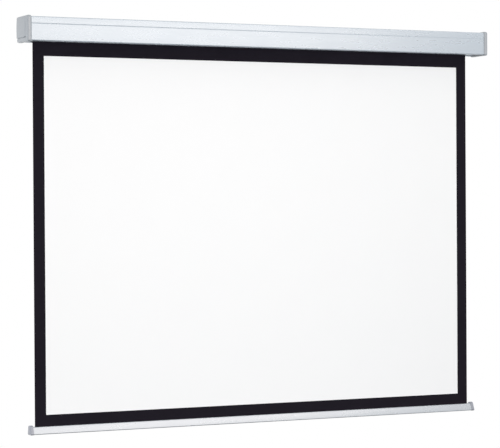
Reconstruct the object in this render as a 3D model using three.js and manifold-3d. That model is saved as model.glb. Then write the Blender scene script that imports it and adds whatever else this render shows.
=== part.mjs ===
// A projection screen for a wall or ceiling: its cloth is pulled down by hand and wound up by a spring roller.
// Millimetres. X runs along the case, Z is up, and the wall is the plane Y = 0, with the viewer at -Y.
// It is shown pulled right down, with the roller about to be locked by its pawls.

import * as THREE from "three";
import { mergeVertices } from "three/addons/utils/BufferGeometryUtils.js";
import Module from "manifold-3d";

const wasm = await Module();
wasm.setup();

// Clearances that the whole object shares.
const seatGap = 0.3; // between pieces that rest on or sit in each other
const runningGap = 0.4; // round a piece that turns
const overrun = 5; // how far a cut passes the surface that it opens
const weld = 0.4; // how far joined shapes reach into each other
const mergeDistance = 0.001; // points closer than this are one point

// The cloth and its picture.
const pictureWidth = 1600;
const pictureHeight = 1200;
const sideBorder = 40;
const topBorder = 43.5;
const bottomBorder = 38;
const clothThickness = 0.3;
const coatThickness = 0.1;
const clothToWall = 13.9;

// The case: one aluminium section with a slot below and a screw port in each corner.
const caseHeight = 81;
const caseDepth = 95;
const caseWall = 1.6;
const caseBeyondCloth = 30;
const caseFrontRadius = 4;
const caseBackRadius = 1.8;
const caseInnerRadius = 0.2;
const slotWidth = 11;
const grooveBelowTop = 23.7;
const grooveWidth = 1.8;
const grooveDepth = 0.9;
const portRadius = 3.4;
const portBoreRadius = 1.8;
const portSink = 0.8;
const portSlit = 1.6;

// The steel plate at each end, with a tab on the back wall and one under the top.
const plateThickness = 2;
const tabLength = 34;
const tabThickness = 2;
const tabFromPort = 3;

// The keyholes that the case hangs by, the same in the back tab and the top tab.
const keyholeFromEnd = 20;
const keyholeRadius = 6.5;
const keyholeNeck = 6.6;
const keyholeRise = 12.7;
const windowMargin = 1.5;

// The screws that hold each plate to the ports.
const screwRadius = 1.5;
const screwLength = 16;
const screwHeadRadius = 2.4;
const screwHeadHeight = 2;
const screwSlotWidth = 0.8;
const screwSlotDepth = 0.9;
const screwHoleGap = 0.4;

// The moulded caps over the ends of the case.
const capOverlap = 6;
const capBevel = 6;
const capLipThickness = 0.5;
const capProudFront = 2.7;
const capProudTop = 4;
const capProudBottom = 3;
const capLength = 24;
const capBulge = 3;
const capFaceRounding = 12;
const capFrontInset = 12;
const capTopInset = 6;
const capBottomInset = 5;
const capBackInset = 2;
const capTopFrontRadius = 9;
const capBottomFrontRadius = 5;
const capBackRadius = 2.5;
const capMouthRadiusShare = 0.9;
const capFaceRadiusShare = 0.6;
const capFaceWall = 2.8;
const capSeatWidth = 1.6;
const capHollowStraight = 3.5;
const capHollowTaper = 3.5;
const capSeamHeight = 15.5;
const capSeamLength = 64;
const capSeamStep = 3.4;
const capGrooveWidth = 1.8;
const capGrooveDepth = 1.1;
const capGrooveFromBack = [66, 80];
const capNotchLength = 5;
const capNotchHeight = 2.2;
const capNotchDepth = 2;
const capPegRadius = 2.6;
const capPegReach = 2;
const capPegFromBack = 78;
const capPegSpread = 40;

// The roller: a steel tube that turns on a pin at the left and on a fixed rod at the right.
const rollerFromWall = 40;
const tubeRadius = 24.4;
const tubeWall = 1.2;
const tubeBeyondCloth = 10;
const woundThickness = 0.6;
const plugDiscThickness = 3;
const plugDepth = 35;
const plugHubRadius = 8;
const plugHubLength = 9;
const idlePinRadius = 4;
const idlePinInPlug = 30;
const idlePinPastPlate = 5;
const bushWall = 3.3;
const bushFlangeRadius = 12;
const bushFlangeThickness = 2;
const bushPastPlate = 1.5;

// The fixed rod, its flat tang and the seat that stops it turning.
const rodRadius = 4;
const rodLength = 531;
const tangThickness = 3.4;
const tangHeight = 7;
const tangLength = 17;
const seatBossDepth = 11.4;
const seatBossHeight = 19.4;
const seatFlangeMargin = 3.5;
const seatFlangeThickness = 1.8;
const seatPastPlate = 1.5;

// The spring: one end on the roller's plug, the other on a collar that is pinned to the rod.
const springRadius = 9.25;
const springWireRadius = 1.25;
const springTurns = 30;
const springTail = 3;
const springNoseRadius = 6.6;
const springNoseLength = 24;
const collarFlangeRadius = 11;
const collarFlangeThickness = 4;
const collarNoseLength = 18;
const bushToCollar = 20;
const innerBushThickness = 12;

// The lock: two pawls on the roller drop into the notches of a hub that is fixed on the rod.
const notchCount = 4;
const pawlCount = 2;
const hubRadius = 11.5;
const hubThickness = 4.6;
const pivotRadius = 17.5;
const toothRadius = 10;
const toothAngle = THREE.MathUtils.degToRad(42);
const pawlSwing = THREE.MathUtils.degToRad(20);
const firstPivotTurn = Math.PI / 2;
const pawlThickness = 4;
const pawlTipWidth = 3;
const pawlTipLength = 6;
const pawlRootWidth = 5.2;
const pawlBossRadius = 3.6;
const pawlPinRadius = 1.6;
const pawlPinHeadRadius = 2.8;
const pawlPinHeadThickness = 1;
const pawlPinSink = 2;
const stopRadius = 1.5;
const stopReachShare = 0.66;
const clipRadius = 7;
const clipThickness = 1;
const clipMouth = 5;

// The bottom bar: an aluminium section with two chambers, wider at the foot.
const barHeight = 25;
const barTopFront = 8.9;
const barTopBack = 7.1;
const barFootFront = 19.9;
const barFootBack = 12.1;
const barWall = 1.4;
const barTopRadius = 3;
const barFootRadius = 2.2;
const barBeyondCloth = 9;
const barSlotWidth = 3.6;
const chamberRadiusShare = 0.5;
const hemRadius = 3.4;
const hemWall = 0.6;
const hemRodRadius = 2.5;
const hemRodShort = 2;
const barCapLength = 12;
const barCapMargin = 0.9;
const barCapRise = 5;
const barCapTopRadius = 6;
const barCapFootRadius = 3;
const barCapRounding = 2.5;
const barCapTongue = 20;

// How finely round shapes are divided.
const cornerSteps = 5;
const faceSteps = 4;
const tubeSides = 40;
const plugSides = 32;
const boreSides = 20;
const smallSides = 12;
const springSteps = 8;
const springSides = 5;

const finishes = {
  caseMetal: { color: 0xe9edf2, roughness: 0.42, metalness: 0.15 },
  capPlastic: { color: 0xb9bdc3, roughness: 0.5, metalness: 0 },
  steel: { color: 0xa9adb2, roughness: 0.38, metalness: 0.9 },
  darkSteel: { color: 0x6f7378, roughness: 0.45, metalness: 0.85 },
  plugPlastic: { color: 0x2b2d31, roughness: 0.55, metalness: 0 },
  whiteCoat: { color: 0xf6f7f8, roughness: 0.9, metalness: 0 },
  blackCloth: { color: 0x242128, roughness: 0.85, metalness: 0 },
  barMetal: { color: 0xe6eaee, roughness: 0.38, metalness: 0.2 },
  barCapPlastic: { color: 0xa6abb6, roughness: 0.5, metalness: 0 },
};

// A closed geometry as a solid that can be joined and cut.
function solidOf(geometry) {
  const bare = geometry.clone();
  bare.deleteAttribute("normal");
  bare.deleteAttribute("uv");
  const merged = mergeVertices(bare, mergeDistance);
  return new wasm.Manifold(
    new wasm.Mesh({
      numProp: 3,
      vertProperties: merged.attributes.position.array,
      triVerts: new Uint32Array(merged.index.array),
    }),
  );
}

function joined(...solids) {
  return solids.reduce((whole, solid) => whole.add(solid));
}

function cut(base, ...tools) {
  return tools.reduce((whole, tool) => whole.subtract(tool), base);
}

// A named mesh of one solid in one finish.
function piece(name, solid, finish) {
  const made = solid.getMesh();
  const geometry = new THREE.BufferGeometry();
  geometry.setAttribute("position", new THREE.BufferAttribute(new Float32Array(made.vertProperties), 3));
  geometry.setIndex(new THREE.BufferAttribute(new Uint32Array(made.triVerts), 1));
  geometry.computeVertexNormals();
  const mesh = new THREE.Mesh(geometry, new THREE.MeshStandardMaterial(finish));
  mesh.name = name;
  return mesh;
}

function box(x, y, z) {
  const geometry = new THREE.BoxGeometry(x[1] - x[0], y[1] - y[0], z[1] - z[0]);
  return solidOf(geometry.translate((x[0] + x[1]) / 2, (y[0] + y[1]) / 2, (z[0] + z[1]) / 2));
}

// A round bar along one axis, at a place given by its other two coordinates.
function bar(axis, radius, from, to, place = [0, 0], sides = boreSides) {
  const geometry = new THREE.CylinderGeometry(radius, radius, to - from, sides);
  const middle = (from + to) / 2;
  if (axis === "x") geometry.rotateZ(-Math.PI / 2).translate(middle, place[0], place[1]);
  if (axis === "y") geometry.translate(place[0], middle, place[1]);
  if (axis === "z") geometry.rotateX(Math.PI / 2).translate(place[0], place[1], middle);
  return solidOf(geometry);
}

// The four corners of a section in Y and Z, from the front foot round by the back.
function rectangle(front, back, bottom, top) {
  return [
    new THREE.Vector2(front, bottom),
    new THREE.Vector2(back, bottom),
    new THREE.Vector2(back, top),
    new THREE.Vector2(front, top),
  ];
}

// The corners of a convex section after each side has moved inwards by its own amount.
// The sides are in order: foot, back, top, front.
function inset(corners, amounts) {
  const count = corners.length;
  const by = Array.isArray(amounts) ? amounts : corners.map(() => amounts);
  const lines = corners.map((corner, i) => {
    const along = corners[(i + 1) % count].clone().sub(corner).normalize();
    const inward = new THREE.Vector2(-along.y, along.x);
    return { along, point: corner.clone().addScaledVector(inward, by[i]) };
  });
  return lines.map((line, i) => {
    const before = lines[(i + count - 1) % count];
    const reach = line.point.clone().sub(before.point).cross(line.along) / before.along.cross(line.along);
    return before.point.clone().addScaledVector(before.along, reach);
  });
}

// The loop of points round a convex section whose corners are rounded off.
function roundedLoop(corners, radii) {
  const count = corners.length;
  const loop = [];
  corners.forEach((corner, i) => {
    const back = corners[(i + count - 1) % count].clone().sub(corner).normalize();
    const ahead = corners[(i + 1) % count].clone().sub(corner).normalize();
    const half = Math.acos(back.dot(ahead)) / 2;
    const bisector = back.clone().add(ahead).normalize();
    const centre = corner.clone().addScaledVector(bisector, radii[i] / Math.sin(half));
    const start = Math.atan2(ahead.x, -ahead.y) + Math.PI;
    const first = Math.atan2(-back.x, back.y) + Math.PI;
    const turn = THREE.MathUtils.euclideanModulo(start - first, 2 * Math.PI);
    for (let step = 0; step <= cornerSteps; step += 1) {
      const angle = first + (turn * step) / cornerSteps;
      loop.push(new THREE.Vector2(Math.cos(angle), Math.sin(angle)).multiplyScalar(radii[i]).add(centre));
    }
  });
  return loop;
}

// A section in Y and Z carried along X.
const sectionToWorld = new THREE.Matrix4().makeBasis(
  new THREE.Vector3(0, 1, 0),
  new THREE.Vector3(0, 0, 1),
  new THREE.Vector3(1, 0, 0),
);

function prism(loop, from, to) {
  const shape = new THREE.Shape(loop);
  const geometry = new THREE.ExtrudeGeometry(shape, { depth: to - from, bevelEnabled: false });
  return solidOf(geometry.applyMatrix4(sectionToWorld).translate(from, 0, 0));
}

// A closed skin through loops of equal length, each given as its place along X and its points in Y and Z.
function loft(rings) {
  const count = rings[0].loop.length;
  const positions = [];
  const indices = [];
  rings.forEach(({ x, loop }) => loop.forEach((p) => positions.push(x, p.x, p.y)));
  const centreOf = ({ x, loop }) => {
    const sum = loop.reduce((total, p) => total.add(p), new THREE.Vector2());
    positions.push(x, sum.x / count, sum.y / count);
    return positions.length / 3 - 1;
  };
  for (let ring = 0; ring < rings.length - 1; ring += 1) {
    for (let j = 0; j < count; j += 1) {
      const a = ring * count + j;
      const b = ring * count + ((j + 1) % count);
      indices.push(a, b, a + count, b, b + count, a + count);
    }
  }
  const near = centreOf(rings[0]);
  const far = centreOf(rings[rings.length - 1]);
  const last = (rings.length - 1) * count;
  for (let j = 0; j < count; j += 1) {
    indices.push(near, (j + 1) % count, j);
    indices.push(far, last + j, last + ((j + 1) % count));
  }
  const geometry = new THREE.BufferGeometry();
  geometry.setAttribute("position", new THREE.BufferAttribute(new Float32Array(positions), 3));
  geometry.setIndex(indices);
  return solidOf(geometry);
}

// A shape turned about X from a closed outline of [x, radius] pairs.
function turned(outline, sides = plugSides) {
  const points = [...outline, outline[0]].map(([x, radius]) => new THREE.Vector2(radius, x));
  if (THREE.ShapeUtils.isClockWise(points)) points.reverse();
  const geometry = new THREE.LatheGeometry(points, sides);
  return solidOf(geometry.rotateZ(-Math.PI / 2));
}

// A ring or sleeve about X.
function sleeve(inner, outer, from, to, sides = plugSides) {
  const bore = bar("x", inner, from - overrun, to + overrun, [0, 0], sides);
  return cut(bar("x", outer, from, to, [0, 0], sides), bore);
}

// A round wire along a list of points, closed at both ends.
function wire(points, radius, sides) {
  const rings = [];
  let side = new THREE.Vector3(0, 1, 0);
  points.forEach((point, i) => {
    const behind = points[Math.max(i - 1, 0)];
    const ahead = points[Math.min(i + 1, points.length - 1)];
    const along = ahead.clone().sub(behind).normalize();
    side = side.addScaledVector(along, -side.dot(along)).normalize();
    const up = along.clone().cross(side);
    for (let k = 0; k < sides; k += 1) {
      const angle = (2 * Math.PI * k) / sides;
      const spoke = side.clone().multiplyScalar(Math.cos(angle)).addScaledVector(up, Math.sin(angle));
      rings.push(point.clone().addScaledVector(spoke, radius));
    }
  });
  const indices = [];
  const last = (points.length - 1) * sides;
  for (let ring = 0; ring < last; ring += sides) {
    for (let k = 0; k < sides; k += 1) {
      const next = (k + 1) % sides;
      indices.push(ring + k, ring + next, ring + sides + k);
      indices.push(ring + next, ring + sides + next, ring + sides + k);
    }
  }
  for (let k = 1; k < sides - 1; k += 1) {
    indices.push(0, k + 1, k);
    indices.push(last, last + k, last + k + 1);
  }
  const geometry = new THREE.BufferGeometry().setFromPoints(rings);
  geometry.setIndex(indices);
  return solidOf(geometry);
}

// Places that several pieces share.
const clothHalf = pictureWidth / 2 + sideBorder;
const clothBackY = -clothToWall;
const clothFrontY = clothBackY - clothThickness;
const coatFrontY = clothFrontY - coatThickness;
const clothMiddleY = (clothBackY + coatFrontY) / 2;
const caseTop = caseHeight / 2;
const caseBottom = -caseHeight / 2;
const caseHalf = clothHalf + caseBeyondCloth;
const pictureTop = caseBottom - topBorder;
const pictureBottom = pictureTop - pictureHeight;
const barTop = pictureBottom - bottomBorder;
const plateInner = caseHalf + seatGap;
const plateOuter = plateInner + plateThickness;
const keyholeX = caseHalf - keyholeFromEnd;

const caseCorners = rectangle(-caseDepth, 0, caseBottom, caseTop);
const caseRadii = [caseFrontRadius, caseBackRadius, caseBackRadius, caseFrontRadius];
const portFromFace = caseWall + portRadius - portSink;
const portCentres = inset(caseCorners, portFromFace);

// A keyhole through a wall: a round entry and a neck that runs on from it, centred along the wall.
function keyholeTool(axis, radius, neck, middle, through) {
  const [from, to] = through;
  const rise = [middle - keyholeRise / 2, middle + keyholeRise / 2];
  const entry = [keyholeX, rise[0]];
  const end = [keyholeX, rise[1]];
  const half = neck / 2;
  const across = [keyholeX - half, keyholeX + half];
  const slot = axis === "y" ? box(across, [from, to], rise) : box(across, rise, [from, to]);
  return joined(bar(axis, radius, from, to, entry), bar(axis, half, from, to, end), slot);
}

// Keyholes of one size in the middle of the back wall and in the middle of the top wall.
function keyholes(margin) {
  const radius = keyholeRadius + margin;
  const neck = keyholeNeck + 2 * margin;
  const backReach = [-caseWall - seatGap - tabThickness - overrun, overrun];
  const topReach = [caseTop - caseWall - seatGap - tabThickness - overrun, caseTop + overrun];
  return [
    keyholeTool("y", radius, neck, 0, backReach),
    keyholeTool("z", radius, neck, -caseDepth / 2, topReach),
  ];
}

function makeCaseShell() {
  const outer = prism(roundedLoop(caseCorners, caseRadii), -caseHalf, caseHalf);
  const innerRadii = caseRadii.map((radius) => Math.max(radius - caseWall, caseInnerRadius));
  const hollow = prism(
    roundedLoop(inset(caseCorners, caseWall), innerRadii),
    -caseHalf - overrun,
    caseHalf + overrun,
  );
  let shell = cut(outer, hollow);
  const middle = new THREE.Vector2(-caseDepth / 2, 0);
  portCentres.forEach((centre) => {
    const place = centre.toArray();
    shell = joined(shell, bar("x", portRadius, -caseHalf, caseHalf, place, smallSides));
    const bore = bar("x", portBoreRadius, -caseHalf - overrun, caseHalf + overrun, place, smallSides);
    const reach = portRadius + weld;
    const slit = box([-caseHalf - overrun, caseHalf + overrun], [0, reach], [-portSlit / 2, portSlit / 2]);
    const turn = THREE.MathUtils.radToDeg(middle.clone().sub(centre).angle());
    shell = cut(shell, bore, slit.rotate([turn, 0, 0]).translate([0, centre.x, centre.y]));
  });
  const slot = box(
    [-caseHalf - overrun, caseHalf + overrun],
    [clothMiddleY - slotWidth / 2, clothMiddleY + slotWidth / 2],
    [caseBottom - overrun, caseBottom + caseWall + overrun],
  );
  const grooveZ = caseTop - grooveBelowTop;
  const groove = prism(
    [
      new THREE.Vector2(-caseDepth - grooveDepth, grooveZ - grooveWidth),
      new THREE.Vector2(-caseDepth + grooveDepth, grooveZ),
      new THREE.Vector2(-caseDepth - grooveDepth, grooveZ + grooveWidth),
    ],
    -caseHalf - overrun,
    caseHalf + overrun,
  );
  const windows = keyholes(windowMargin);
  return cut(shell, slot, groove, ...windows, ...windows.map((tool) => tool.mirror([1, 0, 0])));
}

// The hole in each plate that its bearing goes through.
const bushOuterRadius = idlePinRadius + runningGap + bushWall;
const throughPlate = [plateInner - overrun, plateOuter + overrun];
const bushHole = bar("x", bushOuterRadius + seatGap, ...throughPlate, [-rollerFromWall, 0]);
const seatHole = box(
  throughPlate,
  [-rollerFromWall - seatBossDepth / 2 - seatGap, -rollerFromWall + seatBossDepth / 2 + seatGap],
  [-seatBossHeight / 2 - seatGap, seatBossHeight / 2 + seatGap],
);

const pegPlaces = [-capPegSpread / 2, capPegSpread / 2].map((z) => [-capPegFromBack, z]);

function makeEndPlate(bearingHole) {
  const plate = prism(roundedLoop(caseCorners, caseRadii), plateInner, plateOuter);
  const tabX = [plateInner - tabLength, plateInner + weld];
  const fromFace = portFromFace + portRadius + tabFromPort;
  const backTab = box(
    tabX,
    [-caseWall - seatGap - tabThickness, -caseWall - seatGap],
    [caseBottom + fromFace, caseTop - fromFace],
  );
  const topTab = box(
    tabX,
    [-caseDepth + fromFace, -fromFace],
    [caseTop - caseWall - seatGap - tabThickness, caseTop - caseWall - seatGap],
  );
  const screwHoles = portCentres.map((centre) =>
    bar("x", screwRadius + screwHoleGap, ...throughPlate, centre.toArray(), smallSides),
  );
  const pegHoles = pegPlaces.map((place) =>
    bar("x", capPegRadius + seatGap, ...throughPlate, place, smallSides),
  );
  return cut(joined(plate, backTab, topTab), bearingHole, ...screwHoles, ...pegHoles, ...keyholes(0));
}

function makePlateScrew(centre) {
  const place = centre.toArray();
  const underHead = plateOuter + seatGap;
  const top = underHead + screwHeadHeight;
  const shank = bar("x", screwRadius, underHead - screwLength, underHead + weld, place, smallSides);
  const head = bar("x", screwHeadRadius, underHead, top, place, smallSides);
  const drive = box(
    [top - screwSlotDepth, top + overrun],
    [centre.x - screwHeadRadius - weld, centre.x + screwHeadRadius + weld],
    [centre.y - screwSlotWidth / 2, centre.y + screwSlotWidth / 2],
  );
  return cut(joined(shank, head), drive);
}

// The end cap: a bevelled skirt over the case, a rounded edge, and a slightly domed end face.
function makeEndCap() {
  const near = caseHalf - capOverlap;
  const rim = near + capLength - capBulge;
  const roundFrom = rim - capFaceRounding;
  const full = rectangle(-caseDepth - capProudFront, 0, caseBottom - capProudBottom, caseTop + capProudTop);
  const radii = [capBottomFrontRadius, capBackRadius, capBackRadius, capTopFrontRadius];
  const lip = capLipThickness + seatGap;
  const edge = [capProudBottom - lip, 0, capProudTop - lip, capProudFront - lip];
  const ringAt = (x, amounts, shrink) => ({
    x,
    loop: roundedLoop(
      inset(full, amounts),
      radii.map((radius) => Math.max(radius * shrink, capLipThickness)),
    ),
  });
  const bevelEnd = Math.min(near + capBevel, roundFrom - capLipThickness);
  const rings = [ringAt(near, edge, capMouthRadiusShare), ringAt(bevelEnd, 0, 1)];
  const insets = [capBottomInset, capBackInset, capTopInset, capFrontInset];
  for (let step = 0; step <= faceSteps; step += 1) {
    const angle = (Math.PI / 2) * (step / faceSteps);
    const share = 1 - Math.cos(angle);
    const amounts = insets.map((amount) => amount * share);
    const shrink = 1 - (1 - capFaceRadiusShare) * share;
    rings.push(ringAt(roundFrom + capFaceRounding * Math.sin(angle), amounts, shrink));
  }
  const face = rings[rings.length - 1].loop;
  const centre = new THREE.Vector2(-caseDepth / 2, 0);
  for (let step = 1; step < faceSteps; step += 1) {
    const out = 1 - step / faceSteps;
    const loop = face.map((point) => point.clone().sub(centre).multiplyScalar(out).add(centre));
    rings.push({ x: rim + capBulge * (1 - out * out), loop });
  }
  const grown = inset(caseCorners, -seatGap);
  const recess = prism(
    roundedLoop(rectangle(grown[0].x, overrun, grown[0].y, grown[2].y), caseRadii),
    near - overrun,
    plateOuter + seatGap,
  );
  const hollowLoop = (more) => {
    const amount = capSeatWidth + more;
    return roundedLoop(
      inset(caseCorners, amount),
      caseRadii.map((radius) => Math.max(radius - capSeatWidth, capLipThickness)),
    );
  };
  const hollowFrom = plateOuter + seatGap - weld;
  const hollow = loft([
    { x: hollowFrom, loop: hollowLoop(0) },
    { x: hollowFrom + weld + capHollowStraight, loop: hollowLoop(0) },
    { x: rim - capFaceWall, loop: hollowLoop(capHollowTaper) },
  ]);
  const bottom = full[0].y;
  const top = full[2].y;
  const beyond = rim + capBulge + overrun;
  const seamZ = bottom + capSeamHeight;
  const step = box(
    [rim + capBulge - capSeamStep, beyond],
    [-capSeamLength, overrun],
    [bottom - overrun, seamZ],
  );
  const grooves = capGrooveFromBack.map((fromBack) =>
    box(
      [rim + capBulge - capSeamStep + capGrooveDepth, beyond],
      [-fromBack - capGrooveWidth / 2, -fromBack + capGrooveWidth / 2],
      [seamZ, top + overrun],
    ),
  );
  const notch = box(
    [rim + capBulge - capSeamStep - capNotchDepth / 2, beyond],
    [-capSeamLength - capNotchLength / 2, -capSeamLength + capNotchLength / 2],
    [seamZ - capNotchHeight / 2, seamZ + capNotchHeight / 2],
  );
  const body = cut(loft(rings), recess, hollow, step, ...grooves, notch);
  const pegs = pegPlaces.map((place) =>
    bar("x", capPegRadius, plateInner - capPegReach, rim - capFaceWall + weld, place, smallSides),
  );
  return joined(body, ...pegs);
}

// Right-hand pieces sit at +X, and the left-hand group mirrors them.
const housing = new THREE.Group();
housing.add(piece("case_shell", makeCaseShell(), finishes.caseMetal));
const sides = [
  { name: "left", mirror: -1, bearingHole: bushHole },
  { name: "right", mirror: 1, bearingHole: seatHole },
];
const screwPlaces = ["bottom_front", "bottom_back", "top_back", "top_front"];
sides.forEach(({ name, mirror, bearingHole }) => {
  const end = new THREE.Group();
  end.scale.x = mirror;
  end.add(piece(`end_cap_${name}`, makeEndCap(), finishes.capPlastic));
  end.add(piece(`end_plate_${name}`, makeEndPlate(bearingHole), finishes.steel));
  portCentres.forEach((centre, i) => {
    end.add(piece(`plate_screw_${name}_${screwPlaces[i]}`, makePlateScrew(centre), finishes.steel));
  });
  housing.add(end);
});

// The cloth hangs from the rear of the roller, straight down through the slot.
const cloth = box([-clothHalf, clothHalf], [clothFrontY, clothBackY], [pictureBottom, 0]);
const pictureHalf = pictureWidth / 2;
const coat = box([-pictureHalf, pictureHalf], [coatFrontY, clothFrontY], [pictureBottom, pictureTop]);
housing.add(piece("screen_cloth", cloth, finishes.blackCloth));
housing.add(piece("picture_coat", coat, finishes.whiteCoat));

// Everything on the roller's own axis is made about X and set at its distance from the wall.
const axis = new THREE.Group();
axis.position.y = -rollerFromWall;
const tubeHalf = clothHalf + tubeBeyondCloth;
const tubeInner = tubeRadius - tubeWall;
const plugRadius = tubeInner - seatGap - seatGap / 2;
const discFrom = tubeHalf + seatGap;
const discTo = discFrom + plugDiscThickness;
const plugEnd = tubeHalf - plugDepth;
const woundInner = tubeRadius + seatGap;

axis.add(piece("roller_tube", sleeve(tubeInner, tubeRadius, -tubeHalf, tubeHalf, tubeSides), finishes.steel));
axis.add(
  piece(
    "wound_cloth",
    sleeve(woundInner, woundInner + woundThickness, -clothHalf, clothHalf, tubeSides),
    finishes.blackCloth,
  ),
);

// The left end: a plug with a pin that turns in a bush in the end plate.
function makeIdlePlug() {
  return turned([
    [plugEnd, idlePinRadius + seatGap],
    [plugEnd, plugRadius],
    [discFrom, plugRadius],
    [discFrom, tubeRadius],
    [discTo, tubeRadius],
    [discTo, plugHubRadius],
    [discTo + plugHubLength, plugHubRadius],
    [discTo + plugHubLength, idlePinRadius + seatGap],
  ]);
}

function makeIdleBush() {
  const flangeFrom = plateInner - seatGap - bushFlangeThickness;
  const bore = idlePinRadius + runningGap;
  return turned([
    [flangeFrom, bore],
    [flangeFrom, bushFlangeRadius],
    [flangeFrom + bushFlangeThickness, bushFlangeRadius],
    [flangeFrom + bushFlangeThickness, bushOuterRadius],
    [plateOuter + bushPastPlate, bushOuterRadius],
    [plateOuter + bushPastPlate, bore],
  ]);
}

const leftEnd = new THREE.Group();
leftEnd.scale.x = -1;
const idlePin = bar("x", idlePinRadius, tubeHalf - idlePinInPlug, plateOuter + idlePinPastPlate);
leftEnd.add(piece("idle_plug", makeIdlePlug(), finishes.plugPlastic));
leftEnd.add(piece("idle_pin", idlePin, finishes.steel));
leftEnd.add(piece("idle_bush", makeIdleBush(), finishes.plugPlastic));
axis.add(leftEnd);

// The pawls' frame: from its pivot a pawl reaches along one direction, and its tooth faces across it.
const pivot = new THREE.Vector2(pivotRadius, 0);
const tooth = new THREE.Vector2(Math.cos(toothAngle), Math.sin(toothAngle)).multiplyScalar(toothRadius);
const pawlReach = pivot.distanceTo(tooth);
const pawlAngle = tooth.clone().sub(pivot).angle();
const lockFrom = discTo + runningGap;

// A shape drawn along and across the pawl, in its engaged place beside the roller's axis.
function besidePivot(solid, swing = 0) {
  const degrees = THREE.MathUtils.radToDeg(pawlAngle + swing);
  return solid.rotate([degrees, 0, 0]).translate([0, pivot.x, pivot.y]);
}

// The axis across the pawl points to its left as seen along its reach, towards the hub's notch floor.
function makePawl() {
  const tip = pawlTipWidth / 2;
  const root = pawlRootWidth / 2;
  const arm = prism(
    [
      new THREE.Vector2(0, -root),
      new THREE.Vector2(pawlReach - pawlTipLength, -tip),
      new THREE.Vector2(pawlReach, -tip),
      new THREE.Vector2(pawlReach, tip),
      new THREE.Vector2(pawlReach - pawlTipLength, tip),
      new THREE.Vector2(0, root),
    ],
    lockFrom,
    lockFrom + pawlThickness,
  );
  const boss = bar("x", pawlBossRadius, lockFrom, lockFrom + pawlThickness);
  const bore = bar(
    "x",
    pawlPinRadius + seatGap,
    lockFrom - overrun,
    lockFrom + pawlThickness + overrun,
    [0, 0],
    smallSides,
  );
  return besidePivot(cut(joined(arm, boss), bore), -pawlSwing);
}

function makeNotchedHub() {
  const floor = pawlTipWidth / 2 + seatGap;
  const hub = sleeve(rodRadius + seatGap, hubRadius, lockFrom, lockFrom + hubThickness);
  const through = [lockFrom - overrun, lockFrom + hubThickness + overrun];
  const notch = besidePivot(box(through, [0, pawlReach + seatGap], [-pivotRadius, floor]));
  const turns = Array.from({ length: notchCount }, (_, i) => (360 * i) / notchCount);
  return cut(hub, ...turns.map((turn) => notch.rotate([turn, 0, 0])));
}

function makePawlPin() {
  const headFrom = lockFrom + pawlThickness + runningGap;
  const pin = bar("x", pawlPinRadius, discTo - pawlPinSink, headFrom + weld, [0, 0], smallSides);
  const head = bar("x", pawlPinHeadRadius, headFrom, headFrom + pawlPinHeadThickness, [0, 0], smallSides);
  return besidePivot(joined(pin, head));
}

// The right end: the plug that the spring drives, with a stop for each pawl's outward swing.
function makeDrivePlug() {
  const bore = rodRadius + runningGap;
  let plug = turned([
    [plugEnd - springNoseLength, bore],
    [plugEnd - springNoseLength, springNoseRadius],
    [plugEnd, springNoseRadius],
    [plugEnd, plugRadius],
    [discFrom, plugRadius],
    [discFrom, tubeRadius],
    [discTo, tubeRadius],
    [discTo, bore],
  ]);
  const pinHole = besidePivot(
    bar("x", pawlPinRadius + seatGap, discTo - pawlPinSink - seatGap, discTo + overrun, [0, 0], smallSides),
  );
  const stopAway = pawlRootWidth / 2 + seatGap + stopRadius;
  const stopTo = lockFrom + pawlThickness;
  const stop = besidePivot(
    bar("x", stopRadius, discTo - weld, stopTo, [pawlReach * stopReachShare, -stopAway], smallSides),
    -pawlSwing,
  );
  for (let i = 0; i < pawlCount; i += 1) {
    const turn = [(360 * i) / pawlCount, 0, 0];
    plug = joined(cut(plug, pinHole.rotate(turn)), stop.rotate(turn));
  }
  return plug.rotate([THREE.MathUtils.radToDeg(firstPivotTurn), 0, 0]);
}

// The rod does not turn: its flat tang sits in the seat in the right-hand plate.
const tangTo = plateOuter + seatPastPlate + seatFlangeThickness;
const tangFrom = tangTo - tangLength;
const rodFrom = tangFrom - rodLength;

function makeSpringRod() {
  const rod = bar("x", rodRadius, rodFrom, tangFrom);
  const tang = box(
    [tangFrom - weld, tangTo],
    [-tangThickness / 2, tangThickness / 2],
    [-tangHeight / 2, tangHeight / 2],
  );
  return joined(rod, tang);
}

function makeTangSeat() {
  const flangeTo = plateInner - seatGap;
  const flangeDepth = seatBossDepth / 2 + seatFlangeMargin;
  const flangeHeight = seatBossHeight / 2 + seatFlangeMargin;
  const flange = box(
    [flangeTo - seatFlangeThickness, flangeTo],
    [-flangeDepth, flangeDepth],
    [-flangeHeight, flangeHeight],
  );
  const boss = box(
    [flangeTo - weld, plateOuter + seatPastPlate],
    [-seatBossDepth / 2, seatBossDepth / 2],
    [-seatBossHeight / 2, seatBossHeight / 2],
  );
  const slot = box(
    [flangeTo - seatFlangeThickness - overrun, plateOuter + seatPastPlate + overrun],
    [-tangThickness / 2 - seatGap, tangThickness / 2 + seatGap],
    [-tangHeight / 2 - seatGap, tangHeight / 2 + seatGap],
  );
  return cut(joined(flange, boss), slot);
}

function makeRodClip() {
  const from = lockFrom + hubThickness + seatGap;
  const ring = sleeve(rodRadius + seatGap, clipRadius, from, from + clipThickness);
  const mouth = box(
    [from - overrun, from + clipThickness + overrun],
    [-clipMouth / 2, clipMouth / 2],
    [-clipRadius - weld, 0],
  );
  return cut(ring, mouth);
}

// The spring winds from the drive plug back to the collar, with a short straight tail at each end.
const innerBushTo = rodFrom + innerBushThickness + runningGap;
const collarFrom = innerBushTo + bushToCollar;
const collarTo = collarFrom + collarFlangeThickness;

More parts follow.
